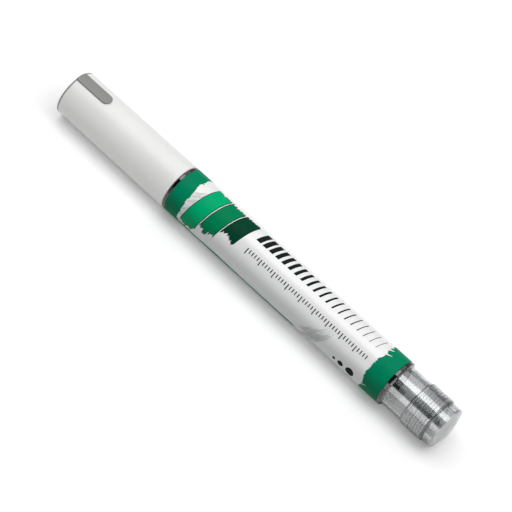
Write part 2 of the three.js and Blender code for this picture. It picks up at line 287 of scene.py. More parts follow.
def dressed(mesh: bpy.types.Mesh, finish: Material, crease: float) -> Piece:
    """Gives a mesh its material and shading, and an object to show it.

    Args:
        mesh: The mesh, whose name the object takes.
        finish: Its one material.
        crease: Edges that turn by more than this many degrees stay sharp.

    Returns:
        The object, linked to the scene.
    """
    mesh.materials.append(finish)
    mesh.shade_smooth()
    mesh.set_sharp_from_angle(angle=math.radians(crease))
    piece = bpy.data.objects.new(mesh.name, mesh)
    bpy.context.scene.collection.objects.link(piece)
    return piece


def skinned(rings: Array, ends: Ends, poles: Array | None = None) -> Surface:
    """Skins one or more stacks of closed rings.

    Point j of ring i is joined to point j + 1 of its ring, with the last meeting the first, and
    to point j of ring i + 1.

    Args:
        rings: Points in metres, shaped (stacks, rings, points, 3) or without the first dimension.
        ends: How each stack is closed.
        poles: For Ends.POLES, the two end points of the one stack; by default the middles of its
            end rings.

    Returns:
        The closed surface, with its faces pointing out.
    """
    stacks = rings[None] if rings.ndim == 3 else rings
    count, depth, around = stacks.shape[:3]
    index = np.arange(depth * around).reshape(depth, around)
    if ends is Ends.LINKED:
        index = np.vstack([index, index[:1]])
    turned = np.roll(index, -1, axis=1)
    sides = np.stack([index[:-1], turned[:-1], turned[1:], index[1:]], axis=-1).reshape(-1, 4)
    points, triangles = stacks.reshape(-1, 3), np.zeros((0, 3), int)
    if ends is Ends.STRIPS:
        half = np.arange(around // 2 - 1)
        strip = np.stack([half, around - 1 - half, around - 2 - half, half + 1], axis=-1)
        sides = np.vstack([sides, strip, strip[:, ::-1] + (depth - 1) * around])
    offsets = (np.arange(count) * depth * around)[:, None, None]
    quads = (sides[None] + offsets).reshape(-1, 4)
    if ends is Ends.POLES:
        tips = stacks[0, [0, -1]].mean(axis=1) if poles is None else poles
        first, last = len(points), len(points) + 1
        points = np.vstack([points, tips])
        front = np.stack([turned[0], index[0], np.full(around, first)], axis=-1)
        rear = np.stack([index[-1], turned[-1], np.full(around, last)], axis=-1)
        triangles = np.vstack([front, rear])
    return Surface(points, quads, triangles).outward()


def rounded(*corners: Corner, linked: bool = False) -> Array:
    """Rounds the corners of a profile.

    A corner that turns by an angle t is cut back by rounding tan(t / 2) along both sides, at most
    by 0.45 of a side, and bridged by an arc. A support point follows close to each end of the
    arc, so that smooth shading stays inside the rounding.

    Args:
        *corners: (station, radius, rounding) of each corner; 0 keeps the corner as one point.
        linked: Whether the last corner is joined to the first.

    Returns:
        The profile's points, shaped (points, 2).
    """
    steps, support, share, most, tiny = 6, 0.05, 0.04, 0.45, 1e-6
    table = np.array(corners, float)
    place, size = table[:, :2], table[:, 2]
    before, after = place - np.roll(place, 1, axis=0), np.roll(place, -1, axis=0) - place
    long_in, long_out = (np.maximum(np.linalg.norm(v, axis=1), tiny) for v in (before, after))
    way_in, way_out = before / long_in[:, None], after / long_out[:, None]
    cross = way_in[:, 0] * way_out[:, 1] - way_in[:, 1] * way_out[:, 0]
    turn = np.arctan2(cross, (way_in * way_out).sum(axis=1))
    slope = np.maximum(np.tan(np.abs(turn) / 2), tiny)
    reach = np.minimum(size * slope, most * np.minimum(long_in, long_out))
    start = place - way_in * reach[:, None]
    inward = np.sign(turn)[:, None] * np.stack([-way_in[:, 1], way_in[:, 0]], axis=1)
    arm = -inward * (reach / slope)[:, None]
    swing = turn[:, None] * np.linspace(0, 1, steps)
    across = arm[:, :1] * np.cos(swing) - arm[:, 1:] * np.sin(swing)
    along = arm[:, :1] * np.sin(swing) + arm[:, 1:] * np.cos(swing)
    arcs = (start - arm)[:, None] + np.stack([across, along], axis=-1)
    lead = arcs[:, :1] - (way_in * np.minimum(support, share * long_in)[:, None])[:, None]
    tail = arcs[:, -1:] + (way_out * np.minimum(support, share * long_out)[:, None])[:, None]
    full = np.concatenate([lead, arcs, tail], axis=1)
    plain = size == 0
    if not linked:
        plain[[0, -1]] = True
    full[plain] = place[plain][:, None]
    points = full.reshape(-1, 2)
    kept = np.linalg.norm(np.diff(points, axis=0, prepend=points[-1:] + 1), axis=1) > tiny
    return points[kept]


def hoop(span: Span, inside: float, inner: float, outer: float) -> Array:
    """Profiles a ring of rectangular section.

    Args:
        span: Its ends and its outer radius.
        inside: Its inner radius.
        inner: Rounding of its inner corners.
        outer: Rounding of its outer corners.

    Returns:
        The profile's points.
    """
    return rounded(
        (span.front, inside, inner),
        (span.front, span.radius, outer),
        (span.rear, span.radius, outer),
        (span.rear, inside, inner),
        linked=True,
    )


@dataclass(frozen=True)
class Thread:
    """A right-hand screw thread on a round wall that runs along the axis."""

    radius: float
    front: float
    rear: float
    pitch: float = 1.75
    depth: float = 0.09
    run_out: float = 0.9

    def stations(self) -> Array:
        """Stations of the wall's profile points, close enough to draw the thread's form."""
        per_turn = 20
        return np.linspace(self.front, self.rear, int((self.rear - self.front) / self.pitch * per_turn))

    def wall(self) -> list[Corner]:
        """Profile corners of the wall, from its front to its rear."""
        return [(station, self.radius, 0.0) for station in self.stations()]

    def relief(self, stations: Array, radii: Array, angles: Array) -> Array:
        """Height of the thread above the mean wall.

        The phase is 2 pi station / pitch - angle, and the form tanh(2.2 cos phase), which has
        flat crests and roots. The height fades over the run-out at both ends and is nought off
        the wall.

        Args:
            stations: Stations of the points.
            radii: Their radii before the thread is added.
            angles: Their angles.

        Returns:
            What to add to the radii.
        """
        crest = 2.2
        phase = FULL_TURN * stations / self.pitch - angles
        form = np.tanh(crest * np.cos(phase)) / np.tanh(crest)
        nearest = np.minimum(stations - self.front, self.rear - stations)
        fade = np.clip(nearest / self.run_out, 0, 1)
        on_wall = np.abs(radii - self.radius) < 1e-4
        return np.where(on_wall, self.depth * form * fade * fade * (3 - 2 * fade), 0.0)


def turned(profile: Array, axis: Axis, columns: int = 192, thread: Thread | None = None) -> Surface:
    """Turns a profile about the axis.

    Every profile point (s, r) becomes a ring of points at station s and radius r, plus the
    thread's relief. A profile that starts and ends on the axis is closed by two poles, and any
    other is closed by joining its last ring to its first.

    Args:
        profile: (station, radius) points.
        axis: The axis to turn about.
        columns: Points round each ring.
        thread: A thread on one of the profile's walls.

    Returns:
        The closed surface.
    """
    angles = circle(columns)[None]
    on_axis = profile[0, 1] == 0 and profile[-1, 1] == 0
    walls = profile[1:-1] if on_axis else profile
    stations, radii = walls[:, :1], walls[:, 1:]
    if thread is not None:
        radii = radii + thread.relief(stations, radii, angles)
    rings = axis.place(stations, radii, angles)
    if not on_axis:
        return skinned(rings, Ends.LINKED)
    return skinned(rings, Ends.POLES, axis.place(profile[[0, -1], 0], 0.0, 0.0))


def fit(piece: Piece, body: Body, slot: Slot, *nodes: str) -> Piece:
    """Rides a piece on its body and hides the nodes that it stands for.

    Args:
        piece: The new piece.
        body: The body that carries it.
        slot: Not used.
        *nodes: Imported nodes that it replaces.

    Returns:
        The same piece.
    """
    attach(piece, body.value)
    if nodes:
        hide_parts(*nodes)
    return piece


class Graph:
    """The nodes of one material or world."""

    def __init__(self, owner: Material | bpy.types.World) -> None:
        """Clears the owner's nodes and keeps its tree.

        Args:
            owner: What the nodes belong to.
        """
        owner.use_nodes = True
        self.tree = owner.node_tree
        self.tree.nodes.clear()

    def add(
        self, kind: str, inputs: Inputs | None = None, out: int | str = 0, **settings: Any
    ) -> Socket | None:
        """Adds a node with its settings, values and links.

        Args:
            kind: The node's class after "ShaderNode", such as "TexNoise".
            inputs: Values or sockets by input name or number. A socket is linked.
            out: Name or number of the output to return.
            **settings: The node's own properties.

        Returns:
            That output, or None for a node without outputs.
        """
        node = self.tree.nodes.new(f"ShaderNode{kind}")
        for name, value in settings.items():
            setattr(node, name, value)
        for key, value in (inputs or {}).items():
            if isinstance(value, Socket):
                self.tree.links.new(value, node.inputs[key])
            else:
                node.inputs[key].default_value = value
        return node.outputs[out] if node.outputs else None


def per_metre(size: float) -> float:
    """Gives the noise scale, on coordinates in metres, for features of a size in millimetres."""
    return 1 / (size * MM)


def painted_underside_shade(graph: Graph, place: Socket, above: float, below: float) -> Socket:
    """Shares out the painted shade on the label, which darkens film and inks by height towards the
    underside.

    Args:
        graph: The material's nodes.
        place: Object coordinates.
        above: Value where the painted shade hasn't begun.
        below: Value where it is full.

    Returns:
        A smooth step from one value to the other, by height.
    """
    # painted shade: none above a height of 12.2 mm, full below 7.9 mm
    begins, full = 12.2, 7.9
    height = graph.add("SeparateXYZ", {"Vector": place}, "Z")
    limits = {1: begins * MM, 2: full * MM, 3: above, 4: below}
    return graph.add("MapRange", {"Value": height, **limits}, interpolation_type="SMOOTHSTEP")


@dataclass(frozen=True)
class Finish:
    """One material: a principled shader, with its patterns on Object coordinates."""

    name: str

    def looks(self, graph: Graph, place: Socket) -> Inputs:
        """Adds the finish's patterns.

        Args:
            graph: The material's nodes.
            place: Object coordinates.

        Returns:
            The shader's values and sockets, by input name.
        """
        raise NotImplementedError

    def inside(self, graph: Graph) -> Inputs:
        """Adds what fills the solid, which is nothing for most finishes."""
        return {}

    def material(self) -> Material:
        """Makes the material.

        Returns:
            The material, with its nodes.
        """
        made = bpy.data.materials.new(self.name)
        graph = Graph(made)
        place = graph.add("TexCoord", out="Object")
        surface = graph.add("BsdfPrincipled", self.looks(graph, place))
        graph.add("OutputMaterial", {"Surface": surface, **self.inside(graph)})
        return made


@dataclass(frozen=True)
class MouldedPlastic(Finish):
    """Opaque thermoplastic from a spark-eroded mould: a fine even grain that breaks up gloss."""

    colour: str
    shade: str
    roughness: float
    ior: float = 1.5
    grain: float = 0.3
    grain_depth: float = 0.004
    cloud: float = 9.0
    uneven: float = 0.03

    def looks(self, graph: Graph, place: Socket) -> Inputs:
        """Lets tone and gloss drift a little in wide clouds, with the grain as bump.

        Args:
            graph: The material's nodes.
            place: Object coordinates.

        Returns:
            The shader's values and sockets, by input name.
        """
        cloud = graph.add("TexNoise", {"Vector": place, "Scale": per_metre(self.cloud), "Detail": 2.0})
        grain = graph.add("TexNoise", {"Vector": place, "Scale": per_metre(self.grain), "Detail": 3.0})
        tone = {0: cloud, 6: linear(self.shade), 7: linear(self.colour)}
        gloss = {"Value": cloud, 3: self.roughness - self.uneven, 4: self.roughness + self.uneven}
        return {
            "Base Color": graph.add("Mix", tone, 2, data_type="RGBA"),
            "Roughness": graph.add("MapRange", gloss),
            "IOR": self.ior,
            "Normal": graph.add("Bump", {"Height": grain, "Distance": self.grain_depth * MM}),
        }


@dataclass(frozen=True)
class ClearPlastic(Finish):
    """Smoke-clear styrene from a polished mould: sharp reflections, greyer where it is thick.

    Its beads can be painted dark beyond a radius, a painted shade, and its end frosted from one place on
    along X.
    """

    name: str = "smoke_clear_styrene"
    tint_and_painted_shade: str = "C4C8CA"
    density: float = 900.0
    roughness: float = 0.015
    ior: float = 1.57
    gloss_ior: float = 2.2
    flow: float = 3.5
    flow_depth: float = 0.003
    bead_radius: float | None = None
    bead_fade: float = 0.05
    # dark base colour of the painted shade on the beads
    bead_painted_shade: str = "3A3C3E"
    bead_gloss: float = 0.3
    frost_from: float | None = None
    frost_fade: float = 0.4
    frost: float = 0.42
    frost_milk: float = 0.26

    def beads(self, graph: Graph, place: Socket) -> Inputs:
        """Paints shade on the rims' beads: a dark base colour and a weaker coat, in place of the dark
        ends of the print seen through them.

        Args:
            graph: The material's nodes.
            place: Object coordinates.

        Returns:
            The shader's sockets, by input name.
        """
        across = graph.add("VectorMath", {0: place, 1: (0.0, 1.0, 1.0)}, operation="MULTIPLY")
        middle = (0.0, 0.0, Axis.of_marker().height * MM)
        radius = graph.add("VectorMath", {0: across, 1: middle}, "Value", operation="DISTANCE")
        limits = {1: self.bead_radius * MM, 2: (self.bead_radius + self.bead_fade) * MM}
        bead = graph.add("MapRange", {"Value": radius, **limits})
        # painted shade: white inside the bead radius, dark beyond it
        body = {0: bead, 6: WHITE, 7: linear(self.bead_painted_shade)}
        return {
            "Base Color": graph.add("Mix", body, 2, data_type="RGBA"),
            "Coat Weight": graph.add("MapRange", {"Value": bead, 3: 1.0, 4: self.bead_gloss}),
        }

    def frosting(self, graph: Graph, place: Socket) -> Inputs:
        """Etches the end: rougher, and with a little milk in it.

        Args:
            graph: The material's nodes.
            place: Object coordinates.

        Returns:
            The shader's sockets, by input name.
        """
        along = graph.add("SeparateXYZ", {"Vector": place}, "X")
        start, full = self.frost_from * MM, (self.frost_from + self.frost_fade) * MM
        limits = {"Value": along, 1: start, 2: full}
        return {
            "Roughness": graph.add("MapRange", {**limits, 3: self.roughness, 4: self.frost}),
            "Transmission Weight": graph.add("MapRange", {**limits, 3: 1.0, 4: 1.0 - self.frost_milk}),
        }

    def looks(self, graph: Graph, place: Socket) -> Inputs:
        """Makes a clear shell with a hard gloss and faint moulding flow lines.

        Args:
            graph: The material's nodes.
            place: Object coordinates.

        Returns:
            The shader's values and sockets, by input name.
        """
        flow = graph.add("TexNoise", {"Vector": place, "Scale": per_metre(self.flow), "Detail": 1.0})
        looks = {
            "Base Color": WHITE,
            "Roughness": self.roughness,
            "IOR": self.ior,
            "Transmission Weight": 1.0,
            "Coat Weight": 1.0,
            "Coat IOR": self.gloss_ior,
            "Coat Roughness": 0.0,
            "Normal": graph.add("Bump", {"Height": flow, "Distance": self.flow_depth * MM}),
        }
        if self.bead_radius is not None:
            looks |= self.beads(graph, place)
        if self.frost_from is not None:
            looks |= self.frosting(graph, place)
        return looks

    def inside(self, graph: Graph) -> Inputs:
        """Fills the solid with its smoke colour.

        Args:
            graph: The material's nodes.

        Returns:
            The output's volume.
        """
        smoke = {"Color": linear(self.tint_and_painted_shade), "Density": self.density}
        return {"Volume": graph.add("VolumeAbsorption", smoke)}


@dataclass(frozen=True)
class PrintedFilm(Finish):
    """White polypropylene label film, gloss varnished: a bright band over a soft white."""

    name: str = "gloss_label_film"
    colour: str = "EEEFEE"
    shade: str = "EBECEB"
    # grey of the painted shade on the film's underside
    tint_and_painted_shade: str = "C8CACA"
    roughness: float = 0.3
    ior: float = 1.49
    varnish: float = 0.6
    varnish_roughness: float = 0.09
    ripple: float = 14.0
    ripple_depth: float = 0.02

    def looks(self, graph: Graph, place: Socket) -> Inputs:
        """Paints shade on the film, darker towards its underside, under a varnish that ripples a little.

        Args:
            graph: The material's nodes.
            place: Object coordinates.

        Returns:
            The shader's values and sockets, by input name.
        """
        ripple = graph.add("TexNoise", {"Vector": place, "Scale": per_metre(self.ripple), "Detail": 1.0})
        white = {0: ripple, 6: linear(self.shade), 7: linear(self.colour)}
        tone = graph.add("Mix", white, 2, data_type="RGBA")
        # painted shade: the white goes over to the grey towards the underside
        painted_shade = {0: painted_underside_shade(graph, place, 0.0, 1.0), 6: tone, 7: linear(self.tint_and_painted_shade)}
        return {
            "Base Color": graph.add("Mix", painted_shade, 2, data_type="RGBA"),
            "Roughness": self.roughness,
            "IOR": self.ior,
            "Coat Weight": self.varnish,
            "Coat Roughness": self.varnish_roughness,
            "Coat Normal": graph.add("Bump", {"Height": ripple, "Distance": self.ripple_depth * MM}),
        }


@dataclass(frozen=True)
class PrintingInk(Finish):
    """Dense matt printing ink: full colour with next to no gloss, and a faint streak."""

    colour: str
    shade: str
    roughness: float = 0.45
    gloss: float = 0.04
    # share of the ink's colour left at the underside under the painted shade
    tint_and_painted_shade: float = 0.68
    streak: float = 0.35
    streak_length: float = 6.0

    def looks(self, graph: Graph, place: Socket) -> Inputs:
        """Mixes two close tones in streaks round the barrel, with the same painted shade as the film
        towards the underside.

        Args:
            graph: The material's nodes.
            place: Object coordinates.

        Returns:
            The shader's values and sockets, by input name.
        """
        stretch = (1.0, self.streak / self.streak_length, 1.0)
        drawn = graph.add("Mapping", {"Vector": place, "Scale": stretch})
        streaks = graph.add("TexNoise", {"Vector": drawn, "Scale": per_metre(self.streak), "Detail": 2.0})
        tones = {0: streaks, 6: linear(self.shade), 7: linear(self.colour)}
        tone = graph.add("Mix", tones, 2, data_type="RGBA")
        # painted shade: the ink is scaled darker towards the underside
        painted_shade = {0: tone, "Scale": painted_underside_shade(graph, place, 1.0, self.tint_and_painted_shade)}
        return {
            "Base Color": graph.add("VectorMath", painted_shade, operation="SCALE"),
            "Roughness": self.roughness,
            "Specular IOR Level": self.gloss,
        }


@dataclass(frozen=True)
class SealRubber(Finish):
    """Moulded nitrile rubber: dark and soft, with a dusty bloom that lifts its edges."""

    colour: str
    bloom: str
    roughness: float = 0.62
    ior: float = 1.52
    sheen: float = 0.1
    patch: float = 1.6
    patch_depth: float = 0.01

    def looks(self, graph: Graph, place: Socket) -> Inputs:
        """Lays bloom in soft patches over a dark base, with a little sheen.

        Args:
            graph: The material's nodes.
            place: Object coordinates.

        Returns:
            The shader's values and sockets, by input name.
        """
        bloom = graph.add("TexNoise", {"Vector": place, "Scale": per_metre(self.patch), "Detail": 4.0})
        tone = {0: bloom, 6: linear(self.colour), 7: linear(self.bloom)}
        return {
            "Base Color": graph.add("Mix", tone, 2, data_type="RGBA"),
            "Roughness": self.roughness,
            "IOR": self.ior,
            "Sheen Weight": self.sheen,
            "Normal": graph.add("Bump", {"Height": bloom, "Distance": self.patch_depth * MM}),
        }


@dataclass(frozen=True)
class DrawnSteel(Finish):
    """Stainless steel, drawn as wire or ground as a ball: bright, with fine polishing lines."""

    colour: str = "C6C8CB"
    roughness: float = 0.2
    line: float = 0.25
    line_stretch: float = 0.2
    smoother: float = 0.06
    rougher: float = 0.08

    def looks(self, graph: Graph, place: Socket) -> Inputs:
        """Changes the metal's roughness along fine lines.

        Args:
            graph: The material's nodes.
            place: Object coordinates.

        Returns:
            The shader's values and sockets, by input name.
        """
        stretch = (1.0, self.line_stretch, self.line_stretch)
        drawn = graph.add("Mapping", {"Vector": place, "Scale": stretch})
        lines = graph.add("TexNoise", {"Vector": drawn, "Scale": per_metre(self.line), "Detail": 3.0})
        gloss = {"Value": lines, 3: self.roughness - self.smoother, 4: self.roughness + self.rougher}
        return {
            "Base Color": linear(self.colour),
            "Metallic": 1.0,
            "Roughness": graph.add("MapRange", gloss),
        }


@dataclass(frozen=True)
class BondedFibre(Finish):
    """Acrylic fibre bonded to a rod and ground to a tip: chalky white with fine long pores."""

    name: str = "bonded_acrylic_fibre"
    colour: str = "F3F0E8"
    shade: str = "DAD6CB"
    roughness: float = 0.95
    ior: float = 1.49
    sheen: float = 0.15
    fibre: float = 0.18
    fibre_length: float = 3.0
    pore_depth: float = 0.02

    def looks(self, graph: Graph, place: Socket) -> Inputs:
        """Stretches noise along the rod, in tone and as bump.

        Args:
            graph: The material's nodes.
            place: Object coordinates.

        Returns:
            The shader's values and sockets, by input name.
        """
        stretch = (self.fibre / self.fibre_length, 1.0, 1.0)
        drawn = graph.add("Mapping", {"Vector": place, "Scale": stretch})
        fibres = graph.add("TexNoise", {"Vector": drawn, "Scale": per_metre(self.fibre), "Detail": 3.0})
        tone = {0: fibres, 6: linear(self.shade), 7: linear(self.colour)}
        return {
            "Base Color": graph.add("Mix", tone, 2, data_type="RGBA"),
            "Roughness": self.roughness,
            "IOR": self.ior,
            "Sheen Weight": self.sheen,
            "Normal": graph.add("Bump", {"Height": fibres, "Distance": self.pore_depth * MM}),
        }


@dataclass
class Cap:
    """Pull-off cap: white shell, grey end plug with its clip tongue, and the sealing inner cap."""

    axis: Axis
    taper: float = 0.13
    disc: float = 0.4
    spigot_wall: float = 1.0
    play: float = 0.05
    tongue_length: float = 12.0
    tongue_width: float = 3.6
    tongue_thickness: float = 0.4
    tongue_sink: float = 0.04
    tongue_root: float = 0.7
    tongue_bend: float = 0.32
    liner_wall: float = 0.85
    liner_end: float = 1.2
    liner_bore: float = 3.75
    fins: int = 4
    fin_length: float = 6.0
    fin_width: float = 0.8
    fin_root: float = 0.2
    fin_gap: float = 0.2
    fin_setback: float = 0.4

    def __post_init__(self) -> None:
        """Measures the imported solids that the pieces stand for."""
        self.shell_span = Span.of("cap_shell", self.axis)
        self.plug_span = Span.of("cap_end_plug", self.axis)
        self.liner_span = Span.of("inner_cap", self.axis)
        self.bore = self.liner_span.radius + self.play

    def shell(self) -> Piece:
        """Makes the slim tube, which tapers a little from its mouth to its end.

        Returns:
            The tube.
        """
        span, end = self.shell_span, self.shell_span.radius - self.taper
        profile = rounded(
            (span.front, self.bore, 0.1),
            (span.front, end, 0.12),
            (span.rear, span.radius, 0.28),
            (span.rear, self.bore, 0.2),
            linked=True,
        )
        finish = MouldedPlastic("satin_white_polypropylene", "EBEBEA", "E7E7E6", roughness=0.4)
        piece = turned(profile, self.axis, columns=256).to_object("cap_tube", finish.material())
        return fit(piece, Body.CAP, Slot.CAP, "cap_shell")

    def tongue(self) -> Surface:
        """Makes the clip tongue, which leaves the disc and lies along the cap.

        A path in the station and radius plane climbs out of the disc, turns through a quarter
        circle and runs along the cap. The section is a superellipse of exponent six, whose half
        width follows a half circle at the tip, down to a narrow last ring.

        Returns:
            The tongue.
        """
        half, rise, bend = self.tongue_width / 2, self.tongue_thickness / 2, self.tongue_bend
        middle = self.shell_span.radius + self.play + rise - self.tongue_sink
        climb = np.linspace(middle - self.tongue_root, middle - bend, 4)[:-1]
        corner = np.linspace(0, np.pi / 2, 9)
        tip = self.tongue_length - half
        run = np.linspace(rise + bend, tip, 30)[1:]
        ease, last, least = 0.995, 0.998, 1e-4
        nose = tip + half * np.sin(np.linspace(0, np.pi / 2, 26)[1:-1] * ease)
        station = np.concatenate(
            [np.full(3, rise), rise + bend * (1 - np.cos(corner)), run, nose, [tip + last * half]]
        )
        radius = np.concatenate(
            [climb, middle - bend + bend * np.sin(corner), np.full(len(run) + len(nose) + 1, middle)]
        )
        heading = np.gradient(np.stack([station, radius], axis=1), axis=0)
        heading /= np.linalg.norm(heading, axis=1, keepdims=True)
        past = np.clip((station - tip) / half, 0, 1)
        width = half * np.sqrt(np.maximum(1 - past**2, least))
        across, up = squared_circle(48, 6)
        height = up * self.tongue_thickness / 2
        stations = station[:, None] - heading[:, 1:] * height
        radii = radius[:, None] + heading[:, :1] * height
        return skinned(self.axis.place(stations, radii, width[:, None] * across / middle), Ends.POLES)

    def end_plug(self) -> Piece:
        """Makes the grey disc that closes the cap, with its hollow spigot and the clip tongue.

        Returns:
            The plug and tongue as one moulding.
        """
        span, outside = self.plug_span, self.bore - self.play
        inside = outside - self.spigot_wall
        disc, floor = span.front + self.disc, span.front + self.disc + self.spigot_wall
        mouth = self.liner_span.front - self.play
        profile = rounded(
            (span.front, 0, 0),
            (span.front, span.radius, 0.17),
            (disc, span.radius, 0.06),
            (disc, outside, 0.05),
            (mouth, outside, 0.2),
            (mouth, inside, 0.2),
            (floor, inside, 0.3),
            (floor, 0, 0),
        )
        finish = MouldedPlastic("satin_grey_polypropylene", "8C8C89", "848481", roughness=0.42)
        surface = turned(profile, self.axis, columns=256).joined(self.tongue())
        piece = surface.to_object("cap_end_plug_and_clip", finish.material())
        return fit(piece, Body.CAP, Slot.GREY, "cap_end_plug")

    def fin_set(self, foot: float) -> Surface:
        """Makes the centring fins: rounded bars that swell from their ends to the cap's bore.

        The height follows (1 - |2 t - 1|^8)^0.5 for t from 0 to 1 along a fin, and the section is
        a superellipse of exponent five.

        Args:
            foot: Radius of the cup's wall, in which the fins stand.

        Returns:
            The fins, evenly spaced round the cup.
        """
        root, crown = foot - self.fin_root, self.liner_span.radius - self.fin_gap
        share, least = np.linspace(0, 1, 25), 0.02
        station = self.liner_span.rear - self.fin_setback - self.fin_length * (1 - share)
        swell = (1 - np.abs(2 * share - 1) ** 8) ** 0.5
        top = root + (crown - root) * np.maximum(swell, least)
        across, up = squared_circle(24, 5)
        radii = root + (top - root)[:, None] * (1 + up) / 2
        bearings = circle(self.fins)[:, None, None]
        angles = across * self.fin_width / 2 / radii[None] + bearings
        rings = self.axis.place(station[None, :, None], radii[None], angles)
        first, *others = (skinned(one, Ends.POLES) for one in rings)
        return first.joined(*others)

    def liner(self) -> Piece:
        """Makes the cup that seals round the front section, with its flange and centring fins.

        Returns:
            The cup and fins as one moulding.
        """
        span, outside = self.liner_span, self.liner_bore + self.liner_wall
        bottom = span.front + self.liner_end
        cup = rounded(
            (span.front, 0, 0),
            (span.front, span.radius, 0.2),
            (bottom, span.radius, 0.1),
            (bottom, outside, 0.3),
            (span.rear, outside, 0.2),
            (span.rear, self.liner_bore, 0.25),
            (bottom, self.liner_bore, 0.5),
            (bottom, 0, 0),
        )
        finish = MouldedPlastic("natural_polyethylene", "EDEDE8", "E3E3DD", roughness=0.48, ior=1.51)
        surface = turned(cup, self.axis).joined(self.fin_set(outside))
        piece = surface.to_object("inner_cap_cup", finish.material())
        return fit(piece, Body.CAP, Slot.LINER, "inner_cap")

    def build(self) -> list[Piece]:
        """Builds the cap's pieces."""
        return [self.shell(), self.end_plug(), self.liner()]


@dataclass
class Barrel:
    """Clear tube: a rim at each end of the label, a bulkhead, a neck and a threaded collar."""

    axis: Axis
    thread: Thread
    tank_wall: float = 1.15
    label_seat: float = 0.2
    front_rim: float = 1.0
    rear_rim: float = 0.8
    rear_chamfer: float = 0.4
    # radius beyond which the rims are painted dark, a painted shade
    bead: float = 6.9
    bulkhead: float = 1.6
    bulkhead_setback: float = 2.75
    neck_step: float = 0.8
    neck_wall: float = 0.9
    neck_length: float = 7.1
    collar_step: float = 0.4
    play: float = 0.05

    def tube(self) -> Piece:
        """Makes the tube, closed by its bulkhead, with the thread cut in the collar's bore.

        Returns:
            The tube.
        """
        span = Span.of("barrel_tube", self.axis)
        label = Span.of("label_sleeve", self.axis)
        seat = span.radius - self.label_seat
        tank = seat - self.tank_wall
        neck = span.radius - self.neck_step
        bore = neck - self.neck_wall
        collar = neck + self.collar_step
        rim = label.rear + self.play
        shoulder = rim + self.rear_rim + self.rear_chamfer
        step = shoulder + self.neck_length
        slope = 2 * (self.thread.radius - bore)
        floor = label.rear - self.bulkhead_setback
        profile = rounded(
            (floor - self.bulkhead, 0, 0),
            (floor - self.bulkhead, tank, 0.4),
            (span.front, tank, 0.15),
            (span.front, span.radius, 0.3),
            (span.front + self.front_rim, span.radius, 0.08),
            (span.front + self.front_rim, seat, 0.05),
            (rim, seat, 0.05),
            (rim, span.radius, 0.2),
            (rim + self.rear_rim, span.radius, 0.3),
            (shoulder, span.radius - self.rear_chamfer, 0.2),
            (shoulder, neck, 0.2),
            (step, neck, 0.15),
            (step, collar, 0.22),
            (span.rear, collar, 0.28),
            (span.rear, self.thread.radius, 0.12),
            *self.thread.wall()[::-1],
            (step, self.thread.radius, 0.2),
            (step - slope, bore, 0.3),
            (floor, bore, 0.35),
            (floor, 0, 0),
        )
        surface = turned(profile, self.axis, columns=256, thread=self.thread)
        piece = surface.to_object("clear_barrel", ClearPlastic(bead_radius=self.bead).material())
        return fit(piece, Body.BARREL, Slot.CLEAR, "barrel_tube")

    def build(self) -> list[Piece]:
        """Builds the barrel."""
        return [self.tube()]


@dataclass
class Tail:
    """Gasket bead and the clear plug that screws into the collar."""

    axis: Axis
    thread: Thread
    stem_wall: float = 1.2
    head_side: float = 2.65
    head_round: float = 0.5
    dome_height: float = 1.2
    dome_wall: float = 1.6
    frost_setback: float = 2.6
    play: float = 0.05

    def __post_init__(self) -> None:
        """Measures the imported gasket, which the plug's head seats on."""
        self.gasket = Span.of("plug_gasket", self.axis)

    def plug(self) -> Piece:
        """Makes the hollow threaded stem, round head and shallow domed end.

        The dome is part of a circle of radius (foot squared + height squared) / (2 height).

        Returns:
            The plug.
        """
        span = Span.of("tail_plug", self.axis)
        bore = self.thread.radius - self.stem_wall
        head = self.gasket.rear + self.play
        foot = span.radius - self.head_round
        size = (foot**2 + self.dome_height**2) / (2 * self.dome_height)
        swing = np.linspace(math.asin(foot / size), 0, 26)
        dome = [(span.rear - size + size * math.cos(a), size * math.sin(a), 0.0) for a in swing]
        profile = rounded(
            (span.rear - self.dome_wall, 0, 0),
            (span.rear - self.dome_wall, bore, 0.7),
            (span.front, bore, 0.2),
            (span.front, self.thread.radius, 0.3),
            *self.thread.wall(),
            (head, self.thread.radius, 0.12),
            (head, span.radius, 0.15),
            (head + self.head_side + self.head_round, span.radius, self.head_round),
            (dome[0][0], dome[0][1], 0.3),
            *dome[1:-1],
            (span.rear, 0, 0),
        )
        frost_from = self.axis.start + self.gasket.rear + self.frost_setback
        finish = ClearPlastic("frosted_clear_styrene", density=420.0, frost_from=frost_from)
        surface = turned(profile, self.axis, columns=256, thread=self.thread)
        piece = surface.to_object("clear_tail_plug", finish.material())
        return fit(piece, Body.PLUG, Slot.CLEAR, "tail_plug")

    def bead(self) -> Piece:
        """Makes the thin gasket, whose outer edge is round.

        Returns:
            The gasket.
        """
        inside = self.thread.radius + self.thread.depth + self.play
        profile = hoop(self.gasket, inside, inner=0.05, outer=0.22)
        finish = ClearPlastic(
            "smoke_silicone", tint_and_painted_shade="8A8E90", density=1300.0, roughness=0.06, gloss_ior=1.9
        )
        piece = turned(profile, self.axis).to_object("plug_gasket_bead", finish.material())
        return fit(piece, Body.GASKET, Slot.GASKET, "plug_gasket")

    def build(self) -> list[Piece]:
        """Builds the tail's pieces."""
        return [self.bead(), self.plug()]


